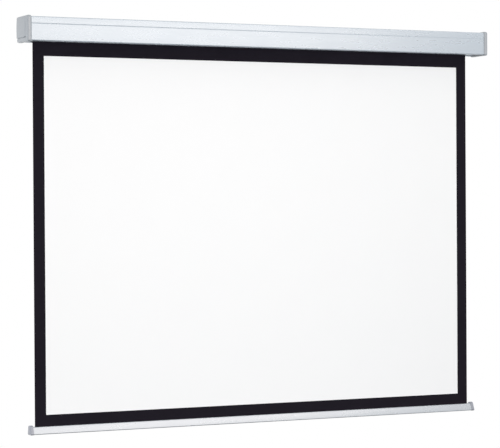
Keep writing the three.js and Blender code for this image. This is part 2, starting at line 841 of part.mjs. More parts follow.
function makeSpring() {
  const from = collarTo + seatGap;
  const to = plugEnd - seatGap;
  const coilFrom = from + springTail;
  const coilTo = to - springTail;
  const around = (x, turns) => {
    const angle = 2 * Math.PI * turns;
    return new THREE.Vector3(x, springRadius * Math.cos(angle), springRadius * Math.sin(angle));
  };
  const count = springTurns * springSteps;
  const points = [around(from, 0)];
  for (let i = 0; i <= count; i += 1) {
    points.push(around(coilFrom + ((coilTo - coilFrom) * i) / count, i / springSteps));
  }
  points.push(around(to, springTurns));
  return wire(points, springWireRadius, springSides);
}

function makeSpringCollar() {
  const bore = rodRadius + seatGap;
  return turned([
    [collarFrom, bore],
    [collarFrom, collarFlangeRadius],
    [collarTo, collarFlangeRadius],
    [collarTo, springNoseRadius],
    [collarTo + collarNoseLength, springNoseRadius],
    [collarTo + collarNoseLength, bore],
  ]);
}

axis.add(piece("drive_plug", makeDrivePlug(), finishes.plugPlastic));
axis.add(piece("spring_rod", makeSpringRod(), finishes.steel));
axis.add(piece("tang_seat", makeTangSeat(), finishes.darkSteel));
axis.add(piece("notched_hub", makeNotchedHub(), finishes.darkSteel));
axis.add(piece("rod_clip", makeRodClip(), finishes.darkSteel));
axis.add(piece("torsion_spring", makeSpring(), finishes.darkSteel));
axis.add(piece("spring_collar", makeSpringCollar(), finishes.steel));
const innerBush = sleeve(rodRadius + runningGap, plugRadius, rodFrom + runningGap, innerBushTo);
axis.add(piece("inner_bush", innerBush, finishes.plugPlastic));
["a", "b"].slice(0, pawlCount).forEach((letter, i) => {
  const place = new THREE.Group();
  place.rotation.x = firstPivotTurn + (2 * Math.PI * i) / pawlCount;
  place.add(piece(`pawl_${letter}`, makePawl(), finishes.darkSteel));
  place.add(piece(`pawl_pin_${letter}`, makePawlPin(), finishes.steel));
  axis.add(place);
});

// The bottom bar is drawn about the cloth's middle plane, with its top at zero.
const bottomBar = new THREE.Group();
bottomBar.position.set(0, clothMiddleY, barTop);
const barHalf = clothHalf + barBeyondCloth;
const barCorners = [
  new THREE.Vector2(-barFootFront, -barHeight),
  new THREE.Vector2(barFootBack, -barHeight),
  new THREE.Vector2(barTopBack, 0),
  new THREE.Vector2(-barTopFront, 0),
];
const barRadii = [barFootRadius, barFootRadius, barTopRadius, barTopRadius];
const hemCentreZ = -barWall - seatGap - hemRadius;
const webTop = hemCentreZ - hemRadius - seatGap;
const chamberRadii = barRadii.map((radius) => radius * chamberRadiusShare);

// The bar's walls leave a chamber for the hem above a web, and an empty one below it.
const hemChamber = inset(barCorners, [barHeight + webTop, barWall, barWall, barWall]);
const footChamber = inset(barCorners, [barWall, barWall, barWall - webTop, barWall]);

function makeBar() {
  const ends = [-barHalf - overrun, barHalf + overrun];
  const outer = prism(roundedLoop(barCorners, barRadii), -barHalf, barHalf);
  const upper = prism(roundedLoop(hemChamber, chamberRadii), ...ends);
  const lower = prism(roundedLoop(footChamber, chamberRadii), ...ends);
  const mouth = box(ends, [-barSlotWidth / 2, barSlotWidth / 2], [-barWall - weld, overrun]);
  return cut(outer, upper, lower, mouth);
}

function makeBarCap() {
  const from = barHalf + seatGap;
  const to = from + barCapLength;
  const full = inset(barCorners, [-barCapMargin, -barCapMargin, -barCapRise, -barCapMargin]);
  const radii = [barCapFootRadius, barCapFootRadius, barCapTopRadius, barCapTopRadius];
  const rings = [{ x: from, loop: roundedLoop(full, radii) }];
  for (let step = 0; step <= faceSteps; step += 1) {
    const angle = (Math.PI / 2) * (step / faceSteps);
    const share = 1 - Math.cos(angle);
    const loop = roundedLoop(
      inset(full, barCapRounding * share),
      radii.map((radius) => radius - barCapRounding * share),
    );
    rings.push({ x: to - barCapRounding + barCapRounding * Math.sin(angle), loop });
  }
  const tongue = prism(
    roundedLoop(inset(footChamber, seatGap), chamberRadii),
    barHalf - barCapTongue,
    from + weld,
  );
  return joined(loft(rings), tongue);
}

// The foot of the cloth: the black band under the picture, and the hem that wraps the rod inside the bar.
function makeHemBand() {
  const halfThickness = (clothThickness + coatThickness) / 2;
  const band = box(
    [-clothHalf, clothHalf],
    [-halfThickness, halfThickness],
    [hemCentreZ + hemRadius - hemWall / 2, pictureBottom - barTop],
  );
  const place = [0, hemCentreZ];
  const hem = bar("x", hemRadius, -clothHalf, clothHalf, place);
  const hollow = bar("x", hemRadius - hemWall, -clothHalf - overrun, clothHalf + overrun, place);
  return joined(cut(hem, hollow), band);
}

bottomBar.add(piece("bar_profile", makeBar(), finishes.barMetal));
bottomBar.add(piece("hem_band", makeHemBand(), finishes.blackCloth));
const hemRodHalf = clothHalf - hemRodShort;
const hemRod = bar("x", hemRodRadius, -hemRodHalf, hemRodHalf, [0, hemCentreZ], smallSides);
bottomBar.add(piece("hem_rod", hemRod, finishes.steel));
sides.forEach(({ name, mirror }) => {
  const end = new THREE.Group();
  end.scale.x = mirror;
  end.add(piece(`bar_cap_${name}`, makeBarCap(), finishes.barCapPlastic));
  bottomBar.add(end);
});

const screen = new THREE.Group();
screen.add(housing, axis, bottomBar);

export default screen;
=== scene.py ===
"""A pull down projection screen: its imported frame, finished piece by piece and lit like a product photo.

Sizes are in millimetres and become metres in the meshes. X runs along the case, Z is up and the wall is at
Y = 0. A section is drawn in the plane of Y and Z, and it runs anticlockwise as seen from +X.
"""

import logging
from dataclasses import dataclass, field, fields
from enum import Enum
from math import asin, cos, pi, radians, sin, tan

import bmesh
import bpy
import numpy as np
from mathutils import Matrix, Vector
from mathutils.geometry import tessellate_polygon


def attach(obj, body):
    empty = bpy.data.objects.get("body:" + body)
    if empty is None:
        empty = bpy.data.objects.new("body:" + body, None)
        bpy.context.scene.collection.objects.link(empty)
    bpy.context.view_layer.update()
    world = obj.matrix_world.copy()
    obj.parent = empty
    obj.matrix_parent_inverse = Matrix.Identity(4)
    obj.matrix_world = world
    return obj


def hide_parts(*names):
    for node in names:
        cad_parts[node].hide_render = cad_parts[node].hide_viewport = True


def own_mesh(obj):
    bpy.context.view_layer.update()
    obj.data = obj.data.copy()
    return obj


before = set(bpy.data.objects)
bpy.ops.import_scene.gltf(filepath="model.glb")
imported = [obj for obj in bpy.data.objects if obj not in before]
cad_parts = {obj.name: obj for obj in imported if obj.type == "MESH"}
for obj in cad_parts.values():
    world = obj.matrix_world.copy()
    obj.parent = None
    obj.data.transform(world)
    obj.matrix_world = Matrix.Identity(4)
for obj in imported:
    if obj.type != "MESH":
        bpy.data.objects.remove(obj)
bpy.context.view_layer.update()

METRES = 0.001  # one millimetre
SHARP = radians(32)  # faces that meet at more than this keep a hard edge
WELD = 0.002  # points closer than this are one point
SLIVER = 0.0002  # an edge shorter than this has no length
DECIMALS = 6  # grid lines that agree to so many decimals are one line
OVERRUN = 5.0  # how far a cutter passes the surface that it opens
ARC_STEPS = 8  # faces in a rounded corner
WHITE = (1, 1, 1, 1)

log = logging.getLogger("projection_screen")


class Side(Enum):
    """An end of the screen, as the sign of its X."""

    LEFT = -1
    RIGHT = 1


# Shapes


@dataclass
class Shape:
    """A surface being made.

    Args:
        points: the corners, one row each, in millimetres.
        faces: index arrays, each with faces of one corner count.
        finishes: for each index array, which of the object's finishes it takes.
        weave: where each point lies on the flat cloth, in metres, or None.
    """

    points: np.ndarray
    faces: list[np.ndarray]
    finishes: list[int] = field(default_factory=list)
    weave: np.ndarray | None = None

    def facing(self, side: Side) -> "Shape":
        """Return the shape for the right, or its mirror image for the left, with its faces outwards."""
        faces = [block[:, :: side.value] for block in self.faces]
        return Shape(self.points * (side.value, 1, 1), faces, self.finishes, self.weave)

    def moved(self, x: float = 0.0, y: float = 0.0, z: float = 0.0) -> "Shape":
        """Return the shape moved along the axes."""
        return Shape(self.points + (x, y, z), self.faces, self.finishes, self.weave)


def rounded_loop(corners: np.ndarray, radii: np.ndarray) -> np.ndarray:
    """Round a polygon's corners, hollow ones too.

    Each corner gives way to an arc that touches both its sides. The arc starts at the corner less the radius
    times the tangent of half the turn, and its points are centre + radius * (cos a, sin a), with a turning
    from one side's outward normal to the next one's.

    Args:
        corners: the polygon, anticlockwise.
        radii: one radius for each corner.

    Returns:
        The rounded outline.
    """
    corners, radii = np.asarray(corners, float), np.asarray(radii, float)
    into = corners - np.roll(corners, 1, axis=0)
    into /= np.linalg.norm(into, axis=1, keepdims=True)
    out = np.roll(into, -1, axis=0)
    turn = np.arctan2(into[:, 0] * out[:, 1] - into[:, 1] * out[:, 0], (into * out).sum(axis=1))
    bend = np.sign(turn)
    normal = np.stack([into[:, 1], -into[:, 0]], axis=1)
    start = corners - into * (radii * np.tan(np.abs(turn) / 2))[:, None]
    centre = start - normal * (radii * bend)[:, None]
    first = np.arctan2(normal[:, 1], normal[:, 0])
    angle = first[:, None] + turn[:, None] * np.linspace(0, 1, ARC_STEPS + 1)
    reach = (radii * bend)[:, None, None]
    arcs = centre[:, None] + reach * np.stack([np.cos(angle), np.sin(angle)], axis=-1)
    return arcs.reshape(-1, 2)


def inset(corners: np.ndarray, amounts: np.ndarray | float) -> np.ndarray:
    """Move a polygon's sides inwards.

    Side k runs from corner k to the next. Its line n.p = c becomes n.p = c + amount, with n the inward
    normal, and each new corner is where two neighbouring lines meet.

    Args:
        corners: the polygon, anticlockwise.
        amounts: how far each side moves, outwards where negative.

    Returns:
        The new corners.
    """
    corners = np.asarray(corners, float)
    along = np.roll(corners, -1, axis=0) - corners
    along /= np.linalg.norm(along, axis=1, keepdims=True)
    normal = np.stack([-along[:, 1], along[:, 0]], axis=1)
    level = (normal * corners).sum(axis=1) + amounts
    pairs = np.stack([np.roll(normal, 1, axis=0), normal], axis=1)
    levels = np.stack([np.roll(level, 1), level], axis=1)
    return np.linalg.solve(pairs, levels[..., None])[..., 0]


def rectangle(front: float, back: float, bottom: float, top: float) -> np.ndarray:
    """Return a section's four corners: bottom front, bottom back, top back, top front."""
    return np.array([[front, bottom], [back, bottom], [back, top], [front, top]])


def arc(centre: np.ndarray, radius: float, start: float, end: float, steps: int) -> np.ndarray:
    """Return points centre + radius * (cos a, sin a), with a from start to end in radians."""
    angle = np.linspace(start, end, steps + 1)
    return np.asarray(centre) + radius * np.stack([np.cos(angle), np.sin(angle)], axis=1)


def at(x: float, loop: np.ndarray) -> np.ndarray:
    """Stand a section at one X."""
    return np.column_stack([np.full(len(loop), x), loop])


def faces_over(grid: np.ndarray, closed: bool = True, turned: bool = False) -> np.ndarray:
    """Join a grid of points by faces.

    The corners of face (r, k) are the points (r, k), (r, k + 1), (r + 1, k + 1) and (r + 1, k).

    Args:
        grid: the points' numbers, row by row.
        closed: whether each row's last point joins its first.
        turned: whether the faces go round the other way.

    Returns:
        The faces, with four point numbers each.
    """
    onward = np.roll(grid, -1, axis=1)
    faces = np.stack([grid[:-1], onward[:-1], onward[1:], grid[1:]], axis=-1)
    faces = (faces if closed else faces[:, :-1]).reshape(-1, 4)
    return faces[:, [0, 3, 2, 1]] if turned else faces


def loft(rings: list[np.ndarray]) -> Shape:
    """Join rings by faces.

    The surface is a function of two parameters, the ring and the place round it.

    Args:
        rings: closed rings of points, equally long, from low X to high X.

    Returns:
        The surface, closed by a face at either end, with its faces outwards.
    """
    size = len(rings[0])
    grid = np.arange(len(rings) * size).reshape(-1, size)
    return Shape(np.concatenate(rings), [faces_over(grid), grid[:1, ::-1], grid[-1:]])


def extruded(outline: np.ndarray, holes: list[np.ndarray], start: float, end: float) -> Shape:
    """Carry a section with holes along X.

    Args:
        outline: the section, anticlockwise.
        holes: closed channels in it, clockwise.
        start: the lower X.
        end: the higher X.

    Returns:
        The closed surface, whose ends are triangles.
    """
    loops = [outline, *holes]
    section = np.concatenate(loops)
    total = len(section)
    firsts = np.cumsum([0, *(len(loop) for loop in loops)])
    walls = [faces_over(np.arange(a, b) + [[0], [total]]) for a, b in zip(firsts, firsts[1:])]
    ends = np.array(tessellate_polygon([[Vector((*p, 0.0)) for p in loop] for loop in loops]))
    a, b, c = (section[ends[:, i]] for i in range(3))
    clockwise = (b - a)[:, 0] * (c - a)[:, 1] - (b - a)[:, 1] * (c - a)[:, 0] < 0
    ends[clockwise] = ends[clockwise][:, ::-1]
    points = np.concatenate([at(start, section), at(end, section)])
    return Shape(points, [*walls, ends[:, ::-1], ends + total])


def steps_along(path: np.ndarray) -> np.ndarray:
    """Return the distances between a path's neighbouring points."""
    return np.linalg.norm(np.diff(path, axis=0), axis=1)


def ribbon(path: np.ndarray, thickness: np.ndarray | float) -> np.ndarray:
    """Give a path in a section its thickness.

    Each point moves by half the thickness along the path's normal, to the right on the way out and to the
    left on the way back.

    Args:
        path: the middle line.
        thickness: one value, or one for each point.

    Returns:
        The closed outline, anticlockwise.
    """
    along = np.gradient(path, axis=0)
    along /= np.linalg.norm(along, axis=1, keepdims=True)
    half = np.broadcast_to(thickness, len(path))[:, None] / 2
    normal = np.stack([along[:, 1], -along[:, 0]], axis=1) * half
    return np.concatenate([path + normal, (path - normal)[::-1]])


def cloth_strip(path: np.ndarray, thickness: np.ndarray | float, half_width: float, stations: int) -> Shape:
    """Carry a path of cloth along X.

    The point at X and at a run along the path's middle line lies at (X, run) on the flat cloth, on both of
    the cloth's faces.

    Args:
        path: the cloth's middle line.
        thickness: one value, or one for each point.
        half_width: half the cloth's width.
        stations: how many sections there are across the width.

    Returns:
        The strip, with its place on the flat cloth.
    """
    loop = ribbon(path, thickness)
    middle = (loop[: len(path)] + loop[len(path) :][::-1]) / 2
    run = np.concatenate([[0.0], np.cumsum(steps_along(middle))])
    x = np.linspace(-half_width, half_width, stations)
    shape = loft([at(station, loop) for station in x])
    both = np.concatenate([run, run[::-1]])
    shape.weave = np.column_stack([np.repeat(x, len(loop)), np.tile(both, len(x))]) * METRES
    return shape


def make_object(name: str, shape: Shape, *finishes: bpy.types.Material) -> bpy.types.Object:
    """Put a shape into the scene.

    Args:
        name: the piece's name.
        shape: its surface, in millimetres.
        finishes: its materials.

    Returns:
        The object, at the origin, smooth but for its sharp edges.
    """
    mesh = bpy.data.meshes.new(name)
    faces = [row for block in shape.faces for row in block.tolist()]
    mesh.from_pydata(shape.points * METRES, [], faces)
    for finish in finishes:
        mesh.materials.append(finish)
    if shape.finishes:
        counts = [len(block) for block in shape.faces]
        mesh.polygons.foreach_set("material_index", np.repeat(shape.finishes, counts).astype(np.int32))
    if shape.weave is not None:
        corner = np.zeros(len(mesh.loops), np.int32)
        mesh.loops.foreach_get("vertex_index", corner)
        layer = mesh.uv_layers.new(name=Woven.LAYER)
        layer.uv.foreach_set("vector", shape.weave[corner].astype(np.float32).ravel())
    made = bpy.data.objects.new(name, mesh)
    bpy.context.scene.collection.objects.link(made)
    tidy_mesh(mesh)
    return made


def tidy_mesh(mesh: bpy.types.Mesh) -> None:
    """Weld points that share a place, drop faces of no area, and shade smooth but for the sharp edges.

    Args:
        mesh: the mesh to work on.
    """
    work = bmesh.new()
    work.from_mesh(mesh)
    bmesh.ops.remove_doubles(work, verts=work.verts, dist=WELD * METRES)
    bmesh.ops.dissolve_degenerate(work, dist=SLIVER * METRES, edges=work.edges)
    work.to_mesh(mesh)
    work.free()
    mesh.validate()
    mesh.shade_smooth()
    mesh.set_sharp_from_angle(angle=SHARP)


def carve(piece: bpy.types.Object, tools: list[Shape], operation: str = "DIFFERENCE") -> None:
    """Cut shapes out of a piece, or add them to it, and keep the result as its mesh.

    Args:
        piece: the object to work on.
        tools: closed shapes, in millimetres.
        operation: DIFFERENCE or UNION.
    """
    cutters = [make_object(f"{piece.name}_tool_{k}", tool) for k, tool in enumerate(tools)]
    for cutter in cutters:
        change = piece.modifiers.new(cutter.name, "BOOLEAN")
        change.operation, change.solver, change.object = operation, "EXACT", cutter
    shown = bpy.context.evaluated_depsgraph_get()
    result = bpy.data.meshes.new_from_object(piece.evaluated_get(shown))
    piece.modifiers.clear()
    piece.data = result
    for cutter in cutters:
        bpy.data.objects.remove(cutter)
    tidy_mesh(result)


# Finishes

Socket = bpy.types.NodeSocket


class Tree:
    """A node tree, with short ways to add and join nodes."""

    NOISE_MIDDLE = 0.3, 0.7  # most of a noise's values lie between these
    NOISE_DETAIL = 3.0
    NOISE_ROUGHNESS = 0.55
    COLOUR_INPUTS = 6, 7  # the Mix node's two colours
    COLOUR_OUTPUT = 2

    def __init__(self, owner: bpy.types.Material | bpy.types.World) -> None:
        """Empty a tree to work on.

        Args:
            owner: the material or world whose tree it is.
        """
        owner.use_nodes = True
        self.tree = owner.node_tree
        self.tree.nodes.clear()

    def feed(self, socket: Socket, value: object) -> None:
        """Give an input its value, or join another node's output to it.

        Args:
            socket: the input.
            value: a value or another node's output.
        """
        if isinstance(value, Socket):
            self.tree.links.new(value, socket)
        else:
            socket.default_value = value

    def add(self, kind: str, *inputs: object, **values: object) -> bpy.types.Node:
        """Add a node.

        Args:
            kind: the node's type, without its ShaderNode prefix.
            inputs: what its first inputs take, in their order.
            values: what other inputs take, by name with _ for a space, or else the node's properties.

        Returns:
            The node.
        """
        node = self.tree.nodes.new(f"ShaderNode{kind}")
        for socket, value in zip(node.inputs, inputs):
            self.feed(socket, value)
        for key, value in values.items():
            name = key.replace("_", " ")
            if name in node.inputs:
                self.feed(node.inputs[name], value)
            else:
                setattr(node, key, value)
        return node

    def larger(self, first: Socket, second: Socket) -> Socket:
        """Return the larger of two values."""
        return self.add("Math", first, second, operation="MAXIMUM").outputs[0]

    def mixed(self, factor: Socket, *colours: tuple[float, ...]) -> Socket:
        """Return a colour between two, by a factor.

        Args:
            factor: 0 for the first colour and 1 for the second.
            colours: the two colours.

        Returns:
            The colour's socket.
        """
        node = self.add("Mix", factor, data_type="RGBA")
        for place, colour in zip(self.COLOUR_INPUTS, colours):
            node.inputs[place].default_value = (*colour, 1)
        return node.outputs[self.COLOUR_OUTPUT]

    def ranged(self, value: Socket, low: float, high: float) -> Socket:
        """Return a noise's middle range stretched to run from low to high."""
        return self.add("MapRange", value, *self.NOISE_MIDDLE, low, high).outputs[0]

    def noise(self, place: Socket, size: float, stretch: tuple[float, ...]) -> Socket:
        """Make a noise, drawn out along the axes.

        Args:
            place: the coordinates it reads.
            size: the size of its spots in metres.
            stretch: how much longer they are along each axis.

        Returns:
            The noise's socket.
        """
        moved = self.add("Mapping", Vector=place, Scale=[1 / (size * s) for s in stretch]).outputs[0]
        detail, roughness = self.NOISE_DETAIL, self.NOISE_ROUGHNESS
        return self.add("TexNoise", Vector=moved, Scale=1.0, Detail=detail, Roughness=roughness).outputs[0]


@dataclass(frozen=True)
class Finish:
    """A surface finish with a fine relief and a slight unevenness of colour and gloss.

    Args:
        name: the material's name.
        colour: its mean colour, linear.
        roughness: its mean roughness.
        metallic: how far it reflects as metal does.
        specular: the level of its own gloss.
        uneven: how far the colour strays from its mean, as a share.
        gloss_uneven: how far the roughness strays from its mean.
        grain: the relief's spot size in metres.
        depth: the relief's depth in metres.
        stretch: how the patterns are drawn out along the axes.
        patch: the size in metres of the colour's spots.
        cloud: the size in metres of the gloss's spots.
    """

    name: str
    colour: tuple[float, float, float]
    roughness: float
    metallic: float = 0.0
    specular: float = 0.5
    uneven: float = 0.02
    gloss_uneven: float = 0.04
    grain: float = 0.0006
    depth: float = 0.00001
    stretch: tuple[float, float, float] = (1, 1, 1)
    patch: float = 0.11
    cloud: float = 0.017

    def relief(self, tree: Tree, place: Socket) -> Socket:
        """Return the height of the fine relief: a noise of the grain's size."""
        return tree.noise(place, self.grain, self.stretch)

    def place(self, tree: Tree) -> Socket:
        """Return what the patterns read: the piece's own coordinates."""
        return tree.add("TexCoord").outputs["Object"]

    def material(self) -> bpy.types.Material:
        """Build the material.

        Returns:
            The material, under the finish's name.
        """
        made = bpy.data.materials.new(self.name)
        tree = Tree(made)
        place = self.place(tree)
        patches = tree.noise(place, self.patch, self.stretch)
        clouds = tree.noise(place, self.cloud, self.stretch)
        low, high = (tuple(c * (1 + s * self.uneven) for c in self.colour) for s in (-1, 1))
        glossy, matt = self.roughness - self.gloss_uneven, self.roughness + self.gloss_uneven
        bump = tree.add("Bump", Height=self.relief(tree, place), Distance=self.depth, Strength=1.0)
        shader = tree.add(
            "BsdfPrincipled",
            Base_Color=tree.mixed(tree.ranged(patches, 0, 1), low, high),
            Roughness=tree.ranged(clouds, glossy, matt),
            Metallic=self.metallic,
            Normal=bump.outputs[0],
            Specular_IOR_Level=self.specular,
        )
        tree.add("OutputMaterial", Surface=shader.outputs[0])
        return made


@dataclass(frozen=True)
class Woven(Finish):
    """Coated cloth: a plain weave of fine yarns under the coat, laid out on the flat cloth.

    Args:
        yarn: the spacing of the yarns in metres.
        wander: how far the yarns stray from straight.
    """

    yarn: float = 0.0006
    wander: float = 0.4
    LAYER = "flat_cloth"
    WAVE_FACTOR = 20  # the wave texture is a sine of this many times the scaled place

    def place(self, tree: Tree) -> Socket:
        """Return the place on the flat cloth."""
        return tree.add("UVMap", uv_map=self.LAYER).outputs[0]

    def relief(self, tree: Tree, place: Socket) -> Socket:
        """Make the height of the weave: the higher of two trains of waves, one along each yarn.

        Args:
            tree: the material's tree.
            place: the place on the flat cloth.

        Returns:
            The height's socket.
        """
        scale = 2 * pi / (self.WAVE_FACTOR * self.yarn)
        trains = [
            tree.add("TexWave", Vector=place, bands_direction=way, Scale=scale, Distortion=self.wander)
            for way in ("X", "Y")
        ]
        return tree.larger(*(train.outputs["Fac"] for train in trains))


@dataclass(frozen=True)
class Palette:
    """Every finish of the screen, each under the name of its slot."""

    case_metal: Finish = Finish(
        "case_enamel", (0.51, 0.565, 0.62), 0.28, metallic=0.7, uneven=0.008, gloss_uneven=0.015,
        grain=0.0012, depth=0.0000012, stretch=(6, 1, 1),
    )
    cap_plastic: Finish = Finish(
        "silver_moulding", (0.39, 0.416, 0.445), 0.36, metallic=0.6, grain=0.0004, depth=0.000006,
    )
    bar_metal: Finish = Finish(
        "bar_enamel", (0.505, 0.537, 0.575), 0.28, metallic=0.7, uneven=0.008, gloss_uneven=0.015,
        grain=0.001, depth=0.0000012, stretch=(6, 1, 1),
    )
    bar_cap_plastic: Finish = Finish(
        "silver_bar_cap", (0.34, 0.355, 0.40), 0.36, metallic=0.6, grain=0.0004, depth=0.000006,
    )
    steel: Finish = Finish(
        "zinc_plated_steel", (0.56, 0.57, 0.58), 0.34, metallic=0.9, uneven=0.09, gloss_uneven=0.09,
        grain=0.0015, depth=0.00001, stretch=(3, 1, 1),
    )
    dark_steel: Finish = Finish(
        "oiled_steel", (0.16, 0.165, 0.17), 0.4, metallic=0.85, uneven=0.12, gloss_uneven=0.1,
        grain=0.0008, depth=0.00001, stretch=(2, 1, 1),
    )
    plug_plastic: Finish = Finish(
        "nylon", (0.026, 0.028, 0.032), 0.5, uneven=0.06, grain=0.0005, depth=0.00002,
    )
    white_coat: Finish = Woven(
        "white_coat", (0.95, 0.95, 0.95), 0.8, specular=0.3, uneven=0.004, depth=0.00001,
    )
    black_cloth: Finish = Woven(
        "black_cloth", (0.0125, 0.0105, 0.0155), 0.85, specular=0.1, uneven=0.08, depth=0.00002, yarn=0.0008,
    )

    def materials(self) -> dict[str, bpy.types.Material]:
        """Build each finish's material, by slot."""
        return {slot.name: getattr(self, slot.name).material() for slot in fields(self)}


@dataclass(frozen=True)
class Shop:
    """What every sub-assembly needs to place a finished piece.

    Args:
        materials: the materials by slot.
    """

    materials: dict[str, bpy.types.Material]

    def place(self, name: str, shape: Shape, body: str, *slots: str) -> bpy.types.Object:
        """Make a piece, give it its finishes, and let it ride.

        Args:
            name: the piece's name.
            shape: its surface, in millimetres.
            body: the body that carries it.
            slots: its finishes, the main one first.

        Returns:
            The piece.
        """
        piece = make_object(name, shape, *(self.materials[s] for s in slots))
        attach(piece, body)
        log.info("%s rides on %s", name, body)
        return piece


# The screen's pieces


@dataclass(frozen=True)
class Cloth:
    """The cloth and its picture.

    The white coat stands 0.1 mm before the black border, and falls to it over the coat's slope.
    """

    half_width: float = 840.0
    picture_half: float = 800.0
    picture_top: float = -84.0
    picture_bottom: float = -1284.0
    front: float = -14.3
    border_front: float = -14.2
    back: float = -13.9
    coat_slope: float = 0.1
    ripple: float = 0.35
    wave_width: float = 97.0
    wave_start: float = 0.7
    swell_width: float = 431.0
    slant_share: float = 0.6
    slant_width: float = 61.0
    slant_height: float = 260.0
    upright_lines: int = 81
    level_lines: int = 61

    def front_face(self, x: np.ndarray, z: np.ndarray) -> np.ndarray:
        """Return the front's Y: the coat's or the border's plane, and the wave on it."""
        coated = (np.abs(x) <= self.picture_half) & (z <= self.picture_top)
        return np.where(coated, self.front, self.border_front) + self.wave(x, z)

    def wave(self, x: np.ndarray, z: np.ndarray) -> np.ndarray:
        """Work out how far the cloth strays from its plane.

        It is ripple * sin(pi * t) * (upright + slanting), with t from 0 at the picture's top to 1 at its
        foot, where the wave dies out. The upright part is sin(x / width + start) * cos(x / swell's width),
        and the slanting one is share * sin(x / slant's width - z / slant's height).

        Args:
            x: the places across the width.
            z: the heights.

        Returns:
            The distance from the plane at each place.
        """
        down = np.clip((z - self.picture_top) / (self.picture_bottom - self.picture_top), 0, 1)
        upright = np.sin(x / self.wave_width + self.wave_start) * np.cos(x / self.swell_width)
        slanting = self.slant_share * np.sin(x / self.slant_width - z / self.slant_height)
        return self.ripple * np.sin(pi * down) * (upright + slanting)

    def hanging(self) -> Shape:
        """Lay out the cloth from the roller to the foot of the picture.

        Its front and its back are grids over X and Z, each with its own Y, and a thin rim joins their edges.

        Returns:
            The surface, with the coat in the first finish and the rest in the second.
        """
        half, slope = self.picture_half, self.coat_slope
        coat = np.linspace(-half, half, self.upright_lines)
        x = np.concatenate([[-self.half_width, -half - slope], coat, [half + slope, self.half_width]])
        rows = np.linspace(self.picture_bottom, self.picture_top, self.level_lines)
        z = np.concatenate([rows, [self.picture_top + slope, self.picture_top / 2, 0.0]])
        gx, gz = np.meshgrid(x, z, indexing="ij")
        front = np.stack([gx, self.front_face(gx, gz), gz], axis=-1).reshape(-1, 3)
        back = np.stack([gx, self.back + self.wave(gx, gz), gz], axis=-1).reshape(-1, 3)
        flat = np.tile(np.stack([gx, gz], axis=-1).reshape(-1, 2) * METRES, (2, 1))

        grid = np.arange(gx.size).reshape(gx.shape)
        faces = faces_over(grid, closed=False, turned=True)
        across = np.abs(x[:-1] + x[1:]) / 2 < half
        below = (z[:-1] + z[1:]) / 2 < self.picture_top
        coated = (across[:, None] & below).ravel()
        edge = np.concatenate([grid[:, 0], grid[-1, 1:], grid[-2::-1, -1], grid[0, -2:0:-1]])
        rim = faces_over(np.stack([edge, edge + grid.size]), turned=True)
        blocks = [faces[coated], faces[~coated], faces[:, ::-1] + grid.size, rim]
        white, black = 0, 1
        return Shape(np.concatenate([front, back]), blocks, [white, black, black, black], flat)


